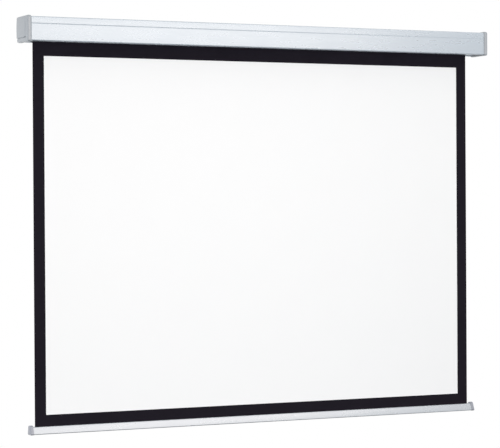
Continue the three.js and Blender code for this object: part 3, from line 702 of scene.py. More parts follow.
@dataclass(frozen=True)
class Case:
    """The case: a drawn section with a slot below, a groove in front and a screw port in each corner."""

    half_length: float = 870.0
    depth: float = 95.0
    height: float = 81.0
    wall: float = 1.6
    front_radius: float = 4.0
    back_radius: float = 1.8
    slot_middle: float = -14.1
    slot_width: float = 11.0
    slot_edge: float = 0.4
    groove_height: float = 16.8
    foot: float = 11.0
    recess: float = 3.5
    groove_half: float = 1.6
    groove_depth: float = 0.7
    groove_edge: float = 0.4
    port_radius: float = 3.4
    bore_radius: float = 1.8
    port_from_face: float = 4.2
    slit: float = 1.6
    bore_steps: int = 18
    keyhole_x: float = 850.0
    entry_radius: float = 8.0
    neck_radius: float = 4.8
    keyhole_rise: float = 12.7
    entry_steps: int = 32
    neck_steps: int = 16

    @property
    def corners(self) -> np.ndarray:
        """The section's outer corners."""
        return rectangle(-self.depth, 0, -self.height / 2, self.height / 2)

    @property
    def corner_radii(self) -> list[float]:
        """The radii of the outer corners."""
        return [self.front_radius, self.back_radius, self.back_radius, self.front_radius]

    def port(self, centre: np.ndarray, arrive: np.ndarray) -> np.ndarray:
        """Trace a screw port, met while going round the hollow with the metal on the left.

        The line comes along one wall, climbs onto the port's round, turns into the slit, goes round the bore
        the long way, leaves by the slit and follows the round to the next wall.

        Args:
            centre: the middle of the bore.
            arrive: the direction in which the line comes, one unit long.

        Returns:
            The points of the trace.
        """
        leave = np.array([arrive[1], -arrive[0]])
        to_wall = self.port_from_face - self.wall
        along = (self.port_radius**2 - to_wall**2) ** 0.5
        first = -to_wall * leave - along * arrive
        last = to_wall * arrive + along * leave
        inward = np.array([-self.depth / 2, 0]) - centre
        aim = np.arctan2(inward[1], inward[0])
        outer, inner = asin(self.slit / 2 / self.port_radius), asin(self.slit / 2 / self.bore_radius)
        begin = aim - (aim - np.arctan2(first[1], first[0])) % (2 * pi)
        end = aim + (np.arctan2(last[1], last[0]) - aim) % (2 * pi)
        return np.concatenate(
            [
                arc(centre, self.port_radius, begin, aim - outer, ARC_STEPS),
                arc(centre, self.bore_radius, aim - inner, aim + inner - 2 * pi, self.bore_steps),
                arc(centre, self.port_radius, aim + outer, end, ARC_STEPS),
            ]
        )

    def section(self) -> np.ndarray:
        """Draw the closed section: round the outside, in at the slot, round the hollow and out again.

        Returns:
            The outline, anticlockwise.
        """
        bottom, top = -self.height / 2, self.height / 2
        slot = self.slot_middle - self.slot_width / 2, self.slot_middle + self.slot_width / 2
        groove = [
            [-self.depth, self.groove_height + self.groove_half],
            [-self.depth + self.groove_depth, self.groove_height],
            [-self.depth, self.groove_height - self.groove_half],
        ]
        foot, ceiling = self.foot - self.depth, bottom + self.recess
        outer = [
            [slot[1], bottom], [0, bottom], [0, top], [-self.depth, top], *groove, [-self.depth, bottom],
            [foot, bottom], [foot + self.recess, ceiling],
        ]
        inner = foot - self.wall * tan(pi / 8)
        lips = [
            [slot[0], ceiling], [slot[0], ceiling + self.wall], [inner + self.recess, ceiling + self.wall],
            [inner, bottom + self.wall], [slot[1], bottom + self.wall],
        ]
        edge, back, front, soft = self.slot_edge, self.back_radius, self.front_radius, self.groove_edge
        points = np.array([*outer, *lips])
        radii = [edge, back, back, front, soft, soft, soft, front]
        radii += [edge] * (len(points) - len(radii))
        loop = rounded_loop(points, radii)
        last_corner = len(loop) - (ARC_STEPS + 1)
        near, far = self.port_from_face - self.depth, -self.port_from_face
        low, high = bottom + self.port_from_face, top - self.port_from_face
        centres = np.array([[near, low], [near, high], [far, high], [far, low]])
        ways = np.array([[-1.0, 0.0], [0.0, 1.0], [1.0, 0.0], [0.0, -1.0]])
        ports = [self.port(centre, arrive) for centre, arrive in zip(centres, ways)]
        return np.concatenate([loop[:last_corner], *ports, loop[last_corner:]])

    def keyholes(self, side: Side) -> list[Shape]:
        """Make the cutters of the two windows at one end.

        Each outline is the entry's circle below and the neck's half circle above, joined by the neck's
        straight sides.

        Args:
            side: the end of the case.

        Returns:
            The window in the back and the one in the top.
        """
        half = self.keyhole_rise / 2
        lean = asin(self.neck_radius / self.entry_radius)
        entry = arc((0, -half), self.entry_radius, pi / 2 + lean, 5 * pi / 2 - lean, self.entry_steps)
        neck = arc((0, half), self.neck_radius, 0, pi, self.neck_steps)
        across, rise = np.concatenate([entry, neck]).T
        x = side.value * self.keyhole_x + across
        outside, inside = (np.full(len(x), depth) for depth in (OVERRUN, -self.wall - OVERRUN))
        behind = loft([np.column_stack([x, y, rise]) for y in (outside, inside)])
        over, above = rise - self.depth / 2, self.height / 2
        top = loft([np.column_stack([x, over, above + z]) for z in (inside, outside)])
        return [behind, top]

    def build(self, shop: Shop) -> None:
        """Make the case and open its keyhole windows.

        Args:
            shop: what places the pieces.
        """
        shape = extruded(self.section(), [], -self.half_length, self.half_length)
        piece = shop.place("case_section", shape, "housing", "case_metal")
        carve(piece, [window for side in Side for window in self.keyholes(side)])
        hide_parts("case_shell")


@dataclass(frozen=True)
class Outline:
    """A rounded rectangle whose points are named by their place on it, so that two outlines can be joined.

    Part 2k is the arc of corner k, and part 2k + 1 is the straight side after it. The corners are the bottom
    front, bottom back, top back and top front.

    Args:
        box: front, back, bottom, top.
        radii: of the four corners.
    """

    box: tuple[float, float, float, float]
    radii: tuple[float, float, float, float]
    BACK_SIDE = 3
    FRONT_SIDE = 7

    def inset(self, amounts: np.ndarray, shrink: float) -> "Outline":
        """Move the sides in and scale the radii.

        Args:
            amounts: how far the bottom, back, top and front move.
            shrink: what the radii are multiplied by.

        Returns:
            The new outline.
        """
        front, back, bottom, top = self.box
        below, behind, above, before = amounts
        box = (front + before, back - behind, bottom + below, top - above)
        return Outline(box, tuple(r * shrink for r in self.radii))

    def centres(self) -> np.ndarray:
        """Find the middles of the corners' arcs.

        Returns:
            One point for each corner.
        """
        front, back, bottom, top = self.box
        r = self.radii
        return np.array(
            [[front + r[0], bottom + r[0]], [back - r[1], bottom + r[1]],
             [back - r[2], top - r[2]], [front + r[3], top - r[3]]]
        )

    def points(self, part: np.ndarray, share: np.ndarray) -> np.ndarray:
        """Find the points at the given places.

        A corner's point is centre + radius * (cos a, sin a), with a a quarter turn long, and a side's point
        lies between the ends of two arcs.

        Args:
            part: which arc or side.
            share: how far along it.

        Returns:
            The points in the section.
        """
        corner = part // 2
        following = (corner + 1) % 4
        centre, radius = self.centres(), np.array(self.radii)
        turn = pi + corner * pi / 2
        angle = turn + share * pi / 2
        arcs = centre[corner] + radius[corner][:, None] * np.stack([np.cos(angle), np.sin(angle)], axis=1)
        out = np.stack([np.cos(turn + pi / 2), np.sin(turn + pi / 2)], axis=1)
        start = centre[corner] + radius[corner][:, None] * out
        end = centre[following] + radius[following][:, None] * out
        sides = start + share[:, None] * (end - start)
        return np.where((part % 2 == 0)[:, None], arcs, sides)

    def edge(self, y: np.ndarray, top: bool) -> tuple[np.ndarray, np.ndarray, np.ndarray]:
        """Find the lower or upper edge over each Y.

        Over a corner's arc the angle from the arc's upright radius has the sine (distance of Y from the
        arc's middle) / radius.

        Args:
            y: the places from front to back.
            top: whether the upper edge is wanted.

        Returns:
            The part and share of each place, and its Z.
        """
        front_corner, back_corner = (3, 2) if top else (0, 1)
        centre, radius = self.centres(), self.radii
        near, far = centre[front_corner], centre[back_corner]
        before = np.clip((near[0] - y) / radius[front_corner], 0, 1)
        behind = np.clip((y - far[0]) / radius[back_corner], 0, 1)
        straight = np.clip((y - near[0]) / (far[0] - near[0]), 0, 1)
        lean_front, lean_back = np.arcsin(before) / (pi / 2), np.arcsin(behind) / (pi / 2)
        if top:
            on_arcs, on_side = [lean_front, 1 - lean_back], 1 - straight
        else:
            on_arcs, on_side = [1 - lean_front, lean_back], straight
        where = [y < near[0], y > far[0]]
        side = 2 * min(front_corner, back_corner) + 1
        part = np.select(where, [2 * front_corner, 2 * back_corner], side)
        share = np.select(where, on_arcs, on_side)
        return part, share, self.points(part, share)[:, 1]


@dataclass(frozen=True)
class EndCap:
    """A moulded cap on an end of the case.

    Its shapes are made for the right end, where their places along X count from the screen's middle.
    """

    case: Case
    near: float = 870.3
    full_from: float = 874.0
    round_from: float = 880.5
    rim: float = 885.5
    swell: float = 3.3
    swell_from: float = -30.0
    outline: Outline = Outline((-97.3, 0.0, -43.0, 44.0), (5.0, 2.5, 2.5, 6.5))
    mouth_insets: tuple[float, float, float, float] = (1.6, 0.0, 2.6, 1.8)
    mouth_shrink: float = 0.8
    lip_shares: tuple[float, ...] = (0.0, 0.08, 0.92, 1.0)
    face_insets: tuple[float, float, float, float] = (5.0, 2.0, 5.0, 4.5)
    face_shrink: float = 0.6
    rim_steps: int = 12
    seat_gap: float = 0.3
    pocket_end: float = 872.6
    hollow_end: float = 882.2
    hollow_straight: float = 3.5
    hollow_taper: float = 3.5
    least_radius: float = 0.5
    seat_width: float = 1.6
    lap: float = 0.4
    panel_step: float = 1.0
    panel_bulge: float = 1.3
    panel_front: tuple[float, float] = (-79.5, -76.0)
    panel_foot: tuple[float, float] = (-28.6, -28.0)
    seam: tuple[float, float] = (-31.0, -28.6)
    seam_depth: float = 1.5
    notch_place: tuple[float, float] = (-78.0, -28.8)
    notch_half: tuple[float, float] = (4.0, 2.2)
    notch_depth: float = 2.0
    edge_step: float = 0.14
    edge_room: float = 0.5
    arc_lines: int = 7
    plain_lines: int = 28
    peg_radius: float = 2.6
    peg_place: float = -78.0
    peg_spread: float = 20.0
    peg_end: float = 868.3
    peg_steps: int = 24

    def raised(self, y: np.ndarray, z: np.ndarray) -> np.ndarray:
        """Work out how far the face stands out of its rim.

        The face swells by swell * (1 - u^2), with u from 1 at its front to 0 further back. A panel stands on
        it, open to the top and the back. Its height is step + bulge * (1 - v^2), with v from -1 to 1 up the
        face, times a share that rises from 0 to 1 over its front and its foot bevel. A seam is sunk under
        its foot, and a notch at their corner.

        Args:
            y: the places from front to back.
            z: the heights.

        Returns:
            The distance from the rim at each place.
        """
        box = self.face().box
        half = (box[3] - box[2]) / 2
        swelling = self.swell * (1 - np.clip((self.swell_from - y) / (self.swell_from - box[0]), 0, 1) ** 2)
        height = self.panel_step + self.panel_bulge * (1 - (z / half) ** 2)
        front, foot = (
            np.clip((place - low) / (high - low), 0, 1)
            for place, (low, high) in ((y, self.panel_front), (z, self.panel_foot))
        )
        middle, spread = self.notch_place, self.notch_half
        notch = (np.abs(y - middle[0]) < spread[0]) & (np.abs(z - middle[1]) < spread[1])
        seam = (y > self.panel_front[0]) & (z > self.seam[0]) & (z < self.seam[1])
        panel = height * np.minimum(front, foot)
        return swelling + np.select([notch, seam], [-self.notch_depth, -self.seam_depth], panel)

    def face(self) -> Outline:
        """Return the outline inside the rounding."""
        return self.outline.inset(np.array(self.face_insets), self.face_shrink)

    def lines(self, low: float, high: float, radii: tuple[float, float], edges: list[float]) -> np.ndarray:
        """Choose grid lines: evenly spaced, but close in the corners' arcs and in pairs at the moulding.

        In an arc the lines lie at radius * (1 - cos a), with a in even steps. Plain lines keep clear of the
        pairs.

        Args:
            low: where the lines begin.
            high: where they end.
            radii: the radius of the arcs at the low and at the high end.
            edges: where the moulding's edges lie.

        Returns:
            The lines' places, in order.
        """
        angle = np.linspace(0, pi / 2, self.arc_lines)
        spaced = np.linspace(low + radii[0], high - radii[1], self.plain_lines)[1:-1]
        pairs = np.array([e + s * self.edge_step / 2 for e in edges for s in (-1, 1)])
        clear = np.abs(spaced[:, None] - pairs[None]).min(axis=1) > self.edge_room
        starts, ends = low + radii[0] * (1 - np.cos(angle)), high - radii[1] * (1 - np.cos(angle))
        return np.unique(np.round(np.concatenate([starts, spaced[clear], pairs, ends]), DECIMALS))

    def cores(self) -> tuple[float, float]:
        """Return the heights between which the level lines keep their height."""
        face, r = self.face(), self.face().radii
        return face.box[2] + max(r[0], r[1]), face.box[3] - max(r[2], r[3])

    def face_points(self, y: np.ndarray, rows: np.ndarray) -> np.ndarray:
        """Lay out the face as a grid of upright lines and level lines with the moulding on it.

        Beyond the core the level lines close up to follow the corners: their height is
        core + share * (edge - core), with the edge's height over each Y.

        Args:
            y: the places of the upright lines.
            rows: the heights of the level lines where they run straight.

        Returns:
            The points, upright line by upright line.
        """
        face, (low, high) = self.face(), self.cores()
        bottom, top = face.box[2:]
        below = np.clip((low - rows) / (low - bottom), 0, 1)
        above = np.clip((rows - high) / (top - high), 0, 1)
        low_edge, high_edge = face.edge(y, top=False)[2], face.edge(y, top=True)[2]
        core = np.clip(rows, low, high)
        z = core + below * (low_edge - low)[:, None] + above * (high_edge - high)[:, None]
        gy = np.repeat(y[:, None], len(rows), axis=1)
        return np.stack([self.rim + self.raised(gy, z), gy, z], axis=-1).reshape(-1, 3)

    def round_the_face(
        self, y: np.ndarray, rows: np.ndarray, grid: np.ndarray
    ) -> tuple[np.ndarray, np.ndarray, np.ndarray]:
        """Go round the edge of the face: the bottom, the back, the top and the front.

        Args:
            y: the places of the upright lines.
            rows: the heights of the level lines.
            grid: the numbers of the face's points.

        Returns:
            The numbers of the edge's points, and the part and share of each on the outline.
        """
        face, (low, high) = self.face(), self.cores()
        upright = np.flatnonzero((rows >= low) & (rows <= high))
        middle = face.centres()[:, 1]
        back_share = np.clip((rows[upright] - middle[1]) / (middle[2] - middle[1]), 0, 1)
        front_share = np.clip((middle[3] - rows[upright][::-1]) / (middle[3] - middle[0]), 0, 1)
        low_part, low_share, _ = face.edge(y, top=False)
        high_part, high_share, _ = face.edge(y, top=True)
        back_part, front_part = (np.full(len(upright), side) for side in (face.BACK_SIDE, face.FRONT_SIDE))
        edge = np.concatenate([grid[:, 0], grid[-1, upright], grid[::-1, -1], grid[0, upright[::-1]]])
        part = np.concatenate([low_part, back_part, high_part[::-1], front_part])
        share = np.concatenate([low_share, back_share, high_share[::-1], front_share])
        return edge, part, share

    def rings(self, part: np.ndarray, share: np.ndarray) -> list[np.ndarray]:
        """Make the rings round the face: a quarter ellipse down to the full outline, then the lip's bevel.

        Args:
            part: the part of each point on the outline.
            share: its share of that part.

        Returns:
            The rings, from the face to the mouth.
        """
        insets, rings = np.array(self.face_insets), []
        for angle in np.linspace(pi / 2, 0, self.rim_steps + 1)[1:]:
            drop = 1 - cos(angle)
            outline = self.outline.inset(insets * drop, 1 - (1 - self.face_shrink) * drop)
            ring = outline.points(part, share)
            deep = self.round_from + (self.rim + self.raised(*ring.T) - self.round_from) * sin(angle)
            rings.append(np.column_stack([deep, ring]))
        full = self.outline.points(part, share)
        mouth = self.outline.inset(np.array(self.mouth_insets), self.mouth_shrink).points(part, share)
        for step in self.lip_shares:
            x = self.full_from + (self.near - self.full_from) * step
            rings.append(at(x, full + (mouth - full) * step))
        return rings

    def skin(self) -> Shape:
        """Join the right cap's face and the rings round it, and close its mouth.

        Returns:
            The surface, with its faces outwards.
        """
        face = self.face()
        front, back, bottom, top = face.box
        r = face.radii
        notch = [[p + s * h for s in (-1, 1)] for p, h in zip(self.notch_place, self.notch_half)]
        front_edges, level_edges = [*self.panel_front, *notch[0]], [*self.panel_foot, *self.seam, *notch[1]]
        y = self.lines(front, back, (max(r[0], r[3]), max(r[1], r[2])), front_edges)
        rows = self.lines(bottom, top, (max(r[0], r[1]), max(r[2], r[3])), level_edges)
        grid = np.arange(len(y) * len(rows)).reshape(len(y), -1)
        edge, part, share = self.round_the_face(y, rows, grid)
        rings = self.rings(part, share)
        outer = grid.size + np.arange(len(rings) * len(edge)).reshape(len(rings), -1)
        index = np.concatenate([edge[None], outer])
        panel = faces_over(grid, closed=False, turned=True)
        points = np.concatenate([self.face_points(y, rows), *rings])
        return Shape(points, [panel, faces_over(index, turned=True), index[-1:, ::-1]])

    def pocket(self) -> list[Shape]:
        """Make the cutters inside the right cap.

        Returns:
            The seat of the case's outline, open at the wall, and the hollow beyond it.
        """
        corners = inset(self.case.corners, -self.seat_gap)
        corners[1:3, 0] = OVERRUN
        radii = self.case.corner_radii
        seat = rounded_loop(corners, radii)
        inner = [max(r - self.seat_width, self.least_radius) for r in radii]
        wide, narrow = (
            rounded_loop(inset(self.case.corners, self.seat_width + more), inner)
            for more in (0.0, self.hollow_taper)
        )
        start, middle = self.pocket_end, self.pocket_end + self.hollow_straight
        hollow = loft([at(start - self.lap, wide), at(middle, wide), at(self.hollow_end, narrow)])
        return [loft([at(self.near - OVERRUN, seat), at(start, seat)]), hollow]

    def pegs(self) -> list[Shape]:
        """Make the two pegs that locate the right cap in its end plate.

        Returns:
            The lower peg and the upper one.
        """
        circles = [
            arc((self.peg_place, s * self.peg_spread), self.peg_radius, 0, 2 * pi, self.peg_steps)[:-1]
            for s in (-1, 1)
        ]
        reach = self.peg_end, self.hollow_end + self.lap
        return [loft([at(x, circle) for x in reach]) for circle in circles]

    def build(self, shop: Shop) -> None:
        """Make both caps.

        Args:
            shop: what places the pieces.
        """
        for side in Side:
            name = side.name.lower()
            piece = shop.place(f"cap_{name}", self.skin().facing(side), "housing", "cap_plastic")
            carve(piece, [tool.facing(side) for tool in self.pocket()])
            carve(piece, [peg.facing(side) for peg in self.pegs()], "UNION")
            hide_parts(f"end_cap_{name}")


@dataclass(frozen=True)
class HangingCloth:
    """The screen's cloth down to the foot of the picture, built as it hangs; the real cloth winds up as the
    bar rises, which this piece does not do.
    """

    cloth: Cloth
    travel: float = 1275.0

    def build(self, shop: Shop) -> None:
        """Args:
            shop: what places the pieces.
        """
        piece = shop.place("hanging_cloth", self.cloth.hanging(), "housing", "white_coat", "black_cloth")
        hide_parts("screen_cloth", "picture_coat")
        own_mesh(piece)


@dataclass(frozen=True)
class BottomBar:
    """The bar at the cloth's foot: a drawn section with two chambers, its caps, and the hem in it."""

    cloth: Cloth
    middle: float = -14.1
    top: float = -1322.0
    half_length: float = 849.0
    height: float = 25.0
    corners: tuple[tuple[float, float], ...] = ((-19.9, -25.0), (12.1, -25.0), (7.1, 0.0), (-8.9, 0.0))
    radii: tuple[float, ...] = (2.2, 2.2, 3.0, 3.0)
    wall: float = 1.4
    web_top: float = -8.8
    mouth_half: float = 1.8
    mouth_edge: float = 0.35
    chamber_share: float = 0.5
    band_thickness: float = 0.4
    band_points: int = 12
    hem_radius: float = 3.4
    hem_wall: float = 0.6
    hem_height: float = -5.1
    hem_lead: float = 0.6
    hem_opening: float = 0.12
    hem_steps: int = 40
    stations: int = 25
    cap_gap: float = 0.3
    cap_length: float = 12.0
    cap_margins: tuple[float, ...] = (-0.9, -0.9, -5.0, -0.9)
    cap_radii: tuple[float, ...] = (3.0, 3.0, 6.0, 6.0)
    cap_lip: float = 0.4
    cap_rounding: float = 2.5
    cap_steps: int = 9
    cap_end_bulge: float = 0.5
    dome_shares: tuple[float, ...] = (0.8, 0.6, 0.4, 0.2)
    tongue_length: float = 20.0
    tongue_lap: float = 1.0

    def chamber(self, top_wall: float, foot_wall: float) -> np.ndarray:
        """Return a chamber's corners, inside the walls and between a lower and an upper wall."""
        return inset(np.array(self.corners), np.array([foot_wall, self.wall, top_wall, self.wall]))

    def profile(self) -> Shape:
        """Make the bar: round the outside, in at the mouth and round the hem's chamber.

        Returns:
            The bar, with the foot chamber as a hole along it.
        """
        outer = np.array(self.corners)
        upper = self.chamber(self.wall, self.height + self.web_top)
        half = self.mouth_half
        around = [outer[3], outer[0], outer[1], outer[2], [half, 0], [half, -self.wall]]
        inside = [upper[2], upper[1], upper[0], upper[3], [-half, -self.wall], [-half, 0]]
        r, edge = self.radii, self.mouth_edge
        inner = [radius * self.chamber_share for radius in r]
        radii = [r[3], r[0], r[1], r[2], edge, edge, inner[2], inner[1], inner[0], inner[3], edge, edge]
        outline = rounded_loop(np.array([*around, *inside]), radii)
        lower = rounded_loop(self.chamber(self.wall - self.web_top, self.wall), inner)
        bar = extruded(outline, [lower[::-1]], -self.half_length, self.half_length)
        return bar.moved(y=self.middle, z=self.top)

    def cap(self) -> Shape:
        """Make the right cap: rings that shrink by a quarter circle to a slightly domed end.

        The dome stands out by bulge * (1 - share^2), with the share of the way from its middle to its edge.

        Returns:
            The closed cap, without its tongue.
        """
        start, lip = self.half_length + self.cap_gap, self.cap_lip
        end = start + self.cap_length
        full, radii = inset(np.array(self.corners), np.array(self.cap_margins)), np.array(self.cap_radii)
        mouth = rounded_loop(inset(full, lip), radii - lip)
        rings = [at(start, mouth), at(start + lip, rounded_loop(full, radii))]
        for angle in np.linspace(0, pi / 2, self.cap_steps + 1):
            drop = self.cap_rounding * (1 - cos(angle))
            x = end - self.cap_rounding + self.cap_rounding * sin(angle)
            rings.append(at(x, rounded_loop(inset(full, drop), radii - drop)))
        face = rings[-1][:, 1:]
        centre = face.mean(axis=0)
        for share in self.dome_shares:
            rings.append(at(end + self.cap_end_bulge * (1 - share**2), centre + (face - centre) * share))
        return loft(rings).moved(y=self.middle, z=self.top)

    def tongue(self) -> Shape:
        """Make the right cap's tongue.

        Returns:
            The tongue, which holds the cap in the foot chamber.
        """
        corners = inset(self.chamber(self.wall - self.web_top, self.wall), self.cap_gap)
        loop = rounded_loop(corners, np.array(self.radii) * self.chamber_share)
        reach = self.half_length - self.tongue_length, self.half_length + self.cap_gap + self.tongue_lap
        return loft([at(x, loop) for x in reach]).moved(y=self.middle, z=self.top)

    def hem_path(self) -> np.ndarray:
        """Draw the middle line of the band and hem: straight down, then round the rod.

        Returns:
            The points of the line, measured from the middle of the bar's top.
        """
        radius = self.hem_radius - self.hem_wall / 2
        foot = self.hem_height + radius + self.hem_lead
        drop = np.linspace(self.cloth.picture_bottom - self.top, foot, self.band_points)
        straight = np.column_stack([np.zeros(len(drop)), drop])
        start, end = pi / 2 + self.hem_opening, 5 * pi / 2 - self.hem_opening
        return np.concatenate([straight, arc((0, self.hem_height), radius, start, end, self.hem_steps)])

    def hem(self) -> Shape:
        """Make the black band under the picture and its hem, one strip of cloth carried along X.

        Returns:
            The strip, with its place on the flat cloth.
        """
        path = self.hem_path()
        in_band = np.arange(len(path)) <= self.band_points
        thickness = np.where(in_band, self.band_thickness, self.hem_wall)
        strip = cloth_strip(path, thickness, self.cloth.half_width, self.stations)
        return strip.moved(y=self.middle, z=self.top)

    def build(self, shop: Shop) -> None:
        """Make the bar, its caps and the hem.

        Args:
            shop: what places the pieces.
        """
        bar = shop.place("bar_section", self.profile(), "bottom_bar", "bar_metal")
        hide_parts("bar_profile")
        for side in Side:
            name = side.name.lower()
            cap = shop.place(f"bar_end_{name}", self.cap().facing(side), "bottom_bar", "bar_cap_plastic")
            carve(cap, [self.tongue().facing(side)], "UNION")
            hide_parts(f"bar_cap_{name}")
        hem = shop.place("cloth_hem", self.hem(), "bottom_bar", "black_cloth")
        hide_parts("hem_band")


@dataclass(frozen=True)
class RollerTurns:
    """The turns of cloth that stay on the roller when the screen is down."""

    cloth: Cloth
    axis: float = -40.0
    inner_radius: float = 24.62
    outer_radius: float = 25.12
    thickness: float = 0.28
    turns: float = 1.25
    points: int = 151
    stations: int = 9

    def spiral(self) -> np.ndarray:
        """Draw the cloth's middle line on the roller: a spiral whose radius grows evenly with the angle.

        Returns:
            The points of the line.
        """
        share = np.linspace(0, 1, self.points)
        angle = 2 * pi * self.turns * share
        radius = self.inner_radius + (self.outer_radius - self.inner_radius) * share
        return np.column_stack([self.axis + radius * np.cos(angle), radius * np.sin(angle)])

    def build(self, shop: Shop) -> None:
        """Args:
            shop: what places the pieces.
        """
        path = self.spiral()
        shape = cloth_strip(path, self.thickness, self.cloth.half_width, self.stations)
        piece = shop.place("roller_turns", shape, "roller", "black_cloth")
        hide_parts("wound_cloth")


class Mechanism:
    """The plates, screws, roller, spring and lock, which keep their frame meshes."""

    SLOTS = {
        "steel": ("end_plate", "plate_screw", "roller_tube", "hem_rod", "idle_pin", "spring_rod", "pawl_pin"),
        "plug_plastic": ("idle_bush", "idle_plug", "drive_plug", "inner_bush", "tang_seat", "spring_collar"),
        "dark_steel": ("torsion_spring", "notched_hub", "rod_clip", "pawl_"),
    }

    def build(self, shop: Shop) -> None:
        """Give each frame mesh that still shows the first finish that its name fits.

        Args:
            shop: what holds the materials.
        """
        for name, node in sorted(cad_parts.items()):
            if node.hide_render:
                continue
            slot = next(slot for slot, starts in self.SLOTS.items() if name.startswith(starts))
            node.material_slots[0].material = shop.materials[slot]
            log.info("%s keeps its frame mesh, in %s", name, slot)


# Studio

CARD_BEAM = radians(60)  # the cards light little but the screen


@dataclass(frozen=True)
class Lamp:
    """A rectangular softbox.

    Args:
        name: the lamp's name.
        place: where it stands, in metres.
        aim: what it points at.
        size: its width and height in metres.
        power: in watts.
        colour: its tint.
        spread: the angle of its beam, in radians.
        mirrored: whether glossy surfaces show it.
    """

    name: str
    place: tuple[float, float, float]
    aim: tuple[float, float, float]
    size: tuple[float, float]
    power: float
    colour: tuple[float, float, float] = (1.0, 1.0, 1.0)
    spread: float = pi
    mirrored: bool = False

    def build(self) -> None:
        """Set the lamp up."""
        data = bpy.data.lights.new(self.name, "AREA")
        data.shape = "RECTANGLE"
        data.size, data.size_y = self.size
        data.energy, data.color, data.spread = self.power, self.colour, self.spread
        lamp = bpy.data.objects.new(self.name, data)
        lamp.location = self.place
        facing = (Vector(self.aim) - Vector(self.place)).to_track_quat("-Z", "Y")
        lamp.rotation_euler = facing.to_euler()
        lamp.visible_camera, lamp.visible_glossy = False, self.mirrored
        bpy.context.scene.collection.objects.link(lamp)


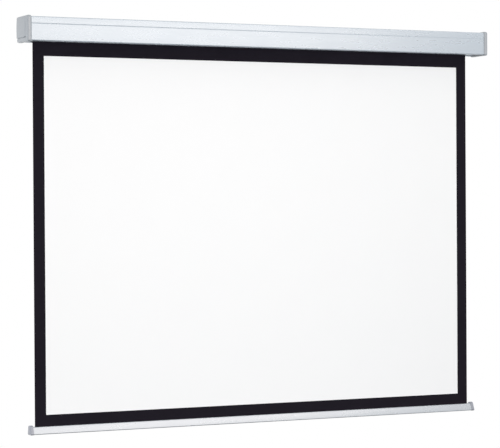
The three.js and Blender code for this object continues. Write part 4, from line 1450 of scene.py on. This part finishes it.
@dataclass(frozen=True)
class Studio:
    """A plain pale floor, white surroundings and soft lamps round the screen, in metres.

    Glossy metal mirrors the two cards, which lets it darken from left to right.
    """

    floor_height: float = -2.1
    floor_rings: tuple[float, ...] = (0.8, 1.6, 2.4, 3.2, 4.0, 5.5, 7.0)
    floor_spokes: int = 96
    fade: tuple[float, float] = (1.6, 3.6)
    floor_colour: tuple[float, float, float] = (0.84, 0.84, 0.85)
    bounce_colour: tuple[float, float, float] = (0.04, 0.043, 0.05)
    sky: float = 0.55
    lamps: tuple[Lamp, ...] = (
        Lamp("key", (-0.3, -6.5, -1.1), (0, 0, -0.8), (1.8, 1.8), 256.0, (0.965, 0.985, 1.0)),
        Lamp(
            "case_card", (0.95, -4.3, 0.3), (-0.9, -0.1, -0.1), (3.2, 1.6), 2.25, (1.0, 0.85, 0.74),
            spread=CARD_BEAM, mirrored=True,
        ),
        Lamp(
            "bar_card", (1.55, -4.3, 2.3), (-1.3, -0.1, -1.3), (3.6, 1.7), 3.1, (1.0, 0.87, 0.78),
            spread=CARD_BEAM, mirrored=True,
        ),
        Lamp("left", (-2.9, 0.45, -1.0), (-0.9, 0, 0), (1.0, 1.0), 58.0),
        Lamp("right", (2.9, 0.45, -1.0), (0.9, 0, 0), (1.0, 1.0), 38.0),
        Lamp("rear", (1.6, 3.6, 1.6), (0, 0, -0.5), (2.2, 2.2), 45.0),
    )

    def floor(self) -> None:
        """Lay the floor: rings of points radius * (cos a, sin a), which fade to plain white further out."""
        angle = np.linspace(0, 2 * pi, self.floor_spokes + 1)[:-1]
        radius, turn = np.meshgrid(self.floor_rings, angle, indexing="ij")
        level = np.full(radius.shape, self.floor_height)
        ground = np.stack([radius * np.cos(turn), radius * np.sin(turn), level], axis=-1)
        grid = np.arange(radius.size).reshape(radius.shape)
        shape = Shape(ground.reshape(-1, 3) / METRES, [faces_over(grid, turned=True), grid[:1]])
        make_object("floor", shape, self.floor_material())

    def floor_material(self) -> bpy.types.Material:
        """Make the floor's finish: a matt pale paint that shows shadows, and white for the eye far out.

        Returns:
            The material.
        """
        made = bpy.data.materials.new("floor_paint")
        tree = Tree(made)
        place = tree.add("TexCoord").outputs["Object"]
        level = tree.add("VectorMath", place, (1, 1, 0), operation="MULTIPLY").outputs[0]
        away = tree.add("VectorMath", level, operation="LENGTH").outputs["Value"]
        share = tree.add("MapRange", away, *self.fade, interpolation_type="SMOOTHSTEP")
        camera = tree.add("LightPath").outputs["Is Camera Ray"]
        paint = tree.add("BsdfDiffuse", Color=tree.mixed(camera, self.bounce_colour, self.floor_colour))
        white = tree.add("Emission", Color=WHITE, Strength=1.0)
        seen = tree.add("Math", share.outputs[0], self.direct(tree), operation="MULTIPLY")
        mixed = tree.add("MixShader", seen.outputs[0], paint.outputs[0], white.outputs[0])
        tree.add("OutputMaterial", Surface=mixed.outputs[0])
        return made

    @staticmethod
    def direct(tree: Tree) -> Socket:
        """Tell the rays that show a surface from those that only light others.

        Args:
            tree: the tree to work in.

        Returns:
            1 for a ray that comes from the camera, from gloss or through glass, and else 0.
        """
        rays = tree.add("LightPath").outputs
        seen = tree.larger(rays["Is Camera Ray"], rays["Is Glossy Ray"])
        return tree.larger(seen, rays["Is Transmission Ray"])

    def surroundings(self) -> None:
        """Set the world: white to look at, and a plain soft light on the object."""
        world = bpy.data.worlds.new("surroundings")
        bpy.context.scene.world = world
        tree = Tree(world)
        light = tree.add("Background", Color=WHITE, Strength=self.sky)
        seen = tree.add("Background", Color=WHITE, Strength=1.0)
        mixed = tree.add("MixShader", self.direct(tree), light.outputs[0], seen.outputs[0])
        tree.add("OutputWorld", Surface=mixed.outputs[0])

    def build(self) -> None:
        """Lay the floor, and set the surroundings, the lamps and the view transform."""
        self.floor()
        self.surroundings()
        for lamp in self.lamps:
            lamp.build()
        bpy.context.scene.view_settings.view_transform = "Standard"


@dataclass(frozen=True)
class Viewpoint:
    """The camera, where the photograph was taken from.

    Args:
        place: in metres.
        heading: radians from +Y towards +X.
        pitch: radians above level.
        roll: radians, clockwise as the camera sees it.
        lens: the focal length for the sensor's width, in millimetres.
        sensor: the sensor's width in millimetres.
        clip: the nearest and the furthest distance it sees, in metres.
    """

    place: tuple[float, float, float] = (-3.04016, -6.36339, -0.59237)
    heading: float = 0.441170544
    pitch: float = -0.0084903
    roll: float = -0.0057320
    lens: float = 144.281
    sensor: float = 36.0
    clip: tuple[float, float] = (0.1, 100.0)

    def build(self) -> None:
        """Place the camera and make it the scene's own."""
        level = Vector((cos(self.heading), -sin(self.heading), 0))
        forward = Vector((sin(self.heading), cos(self.heading), 0))
        ahead = cos(self.pitch) * forward + Vector((0, 0, sin(self.pitch)))
        upright = level.cross(ahead)
        across = cos(self.roll) * level + sin(self.roll) * upright
        upwards = cos(self.roll) * upright - sin(self.roll) * level
        data = bpy.data.cameras.new("camera")
        data.lens, data.sensor_width, data.sensor_fit = self.lens, self.sensor, "HORIZONTAL"
        data.clip_start, data.clip_end = self.clip
        camera = bpy.data.objects.new("camera", data)
        turned = Matrix((across, upwards, -ahead)).transposed().to_4x4()
        camera.matrix_world = Matrix.Translation(self.place) @ turned
        bpy.context.scene.collection.objects.link(camera)
        bpy.context.scene.camera = camera


def main() -> None:
    """Build the screen piece by piece, then the studio round it."""
    logging.basicConfig(level=logging.INFO, format="%(message)s")
    Viewpoint().build()
    shop = Shop(Palette().materials())
    cloth, case = Cloth(), Case()
    for assembly in (
        case, EndCap(case), HangingCloth(cloth), BottomBar(cloth), RollerTurns(cloth), Mechanism()
    ):
        assembly.build(shop)
    Studio().build()


if __name__ == "__main__":
    main()
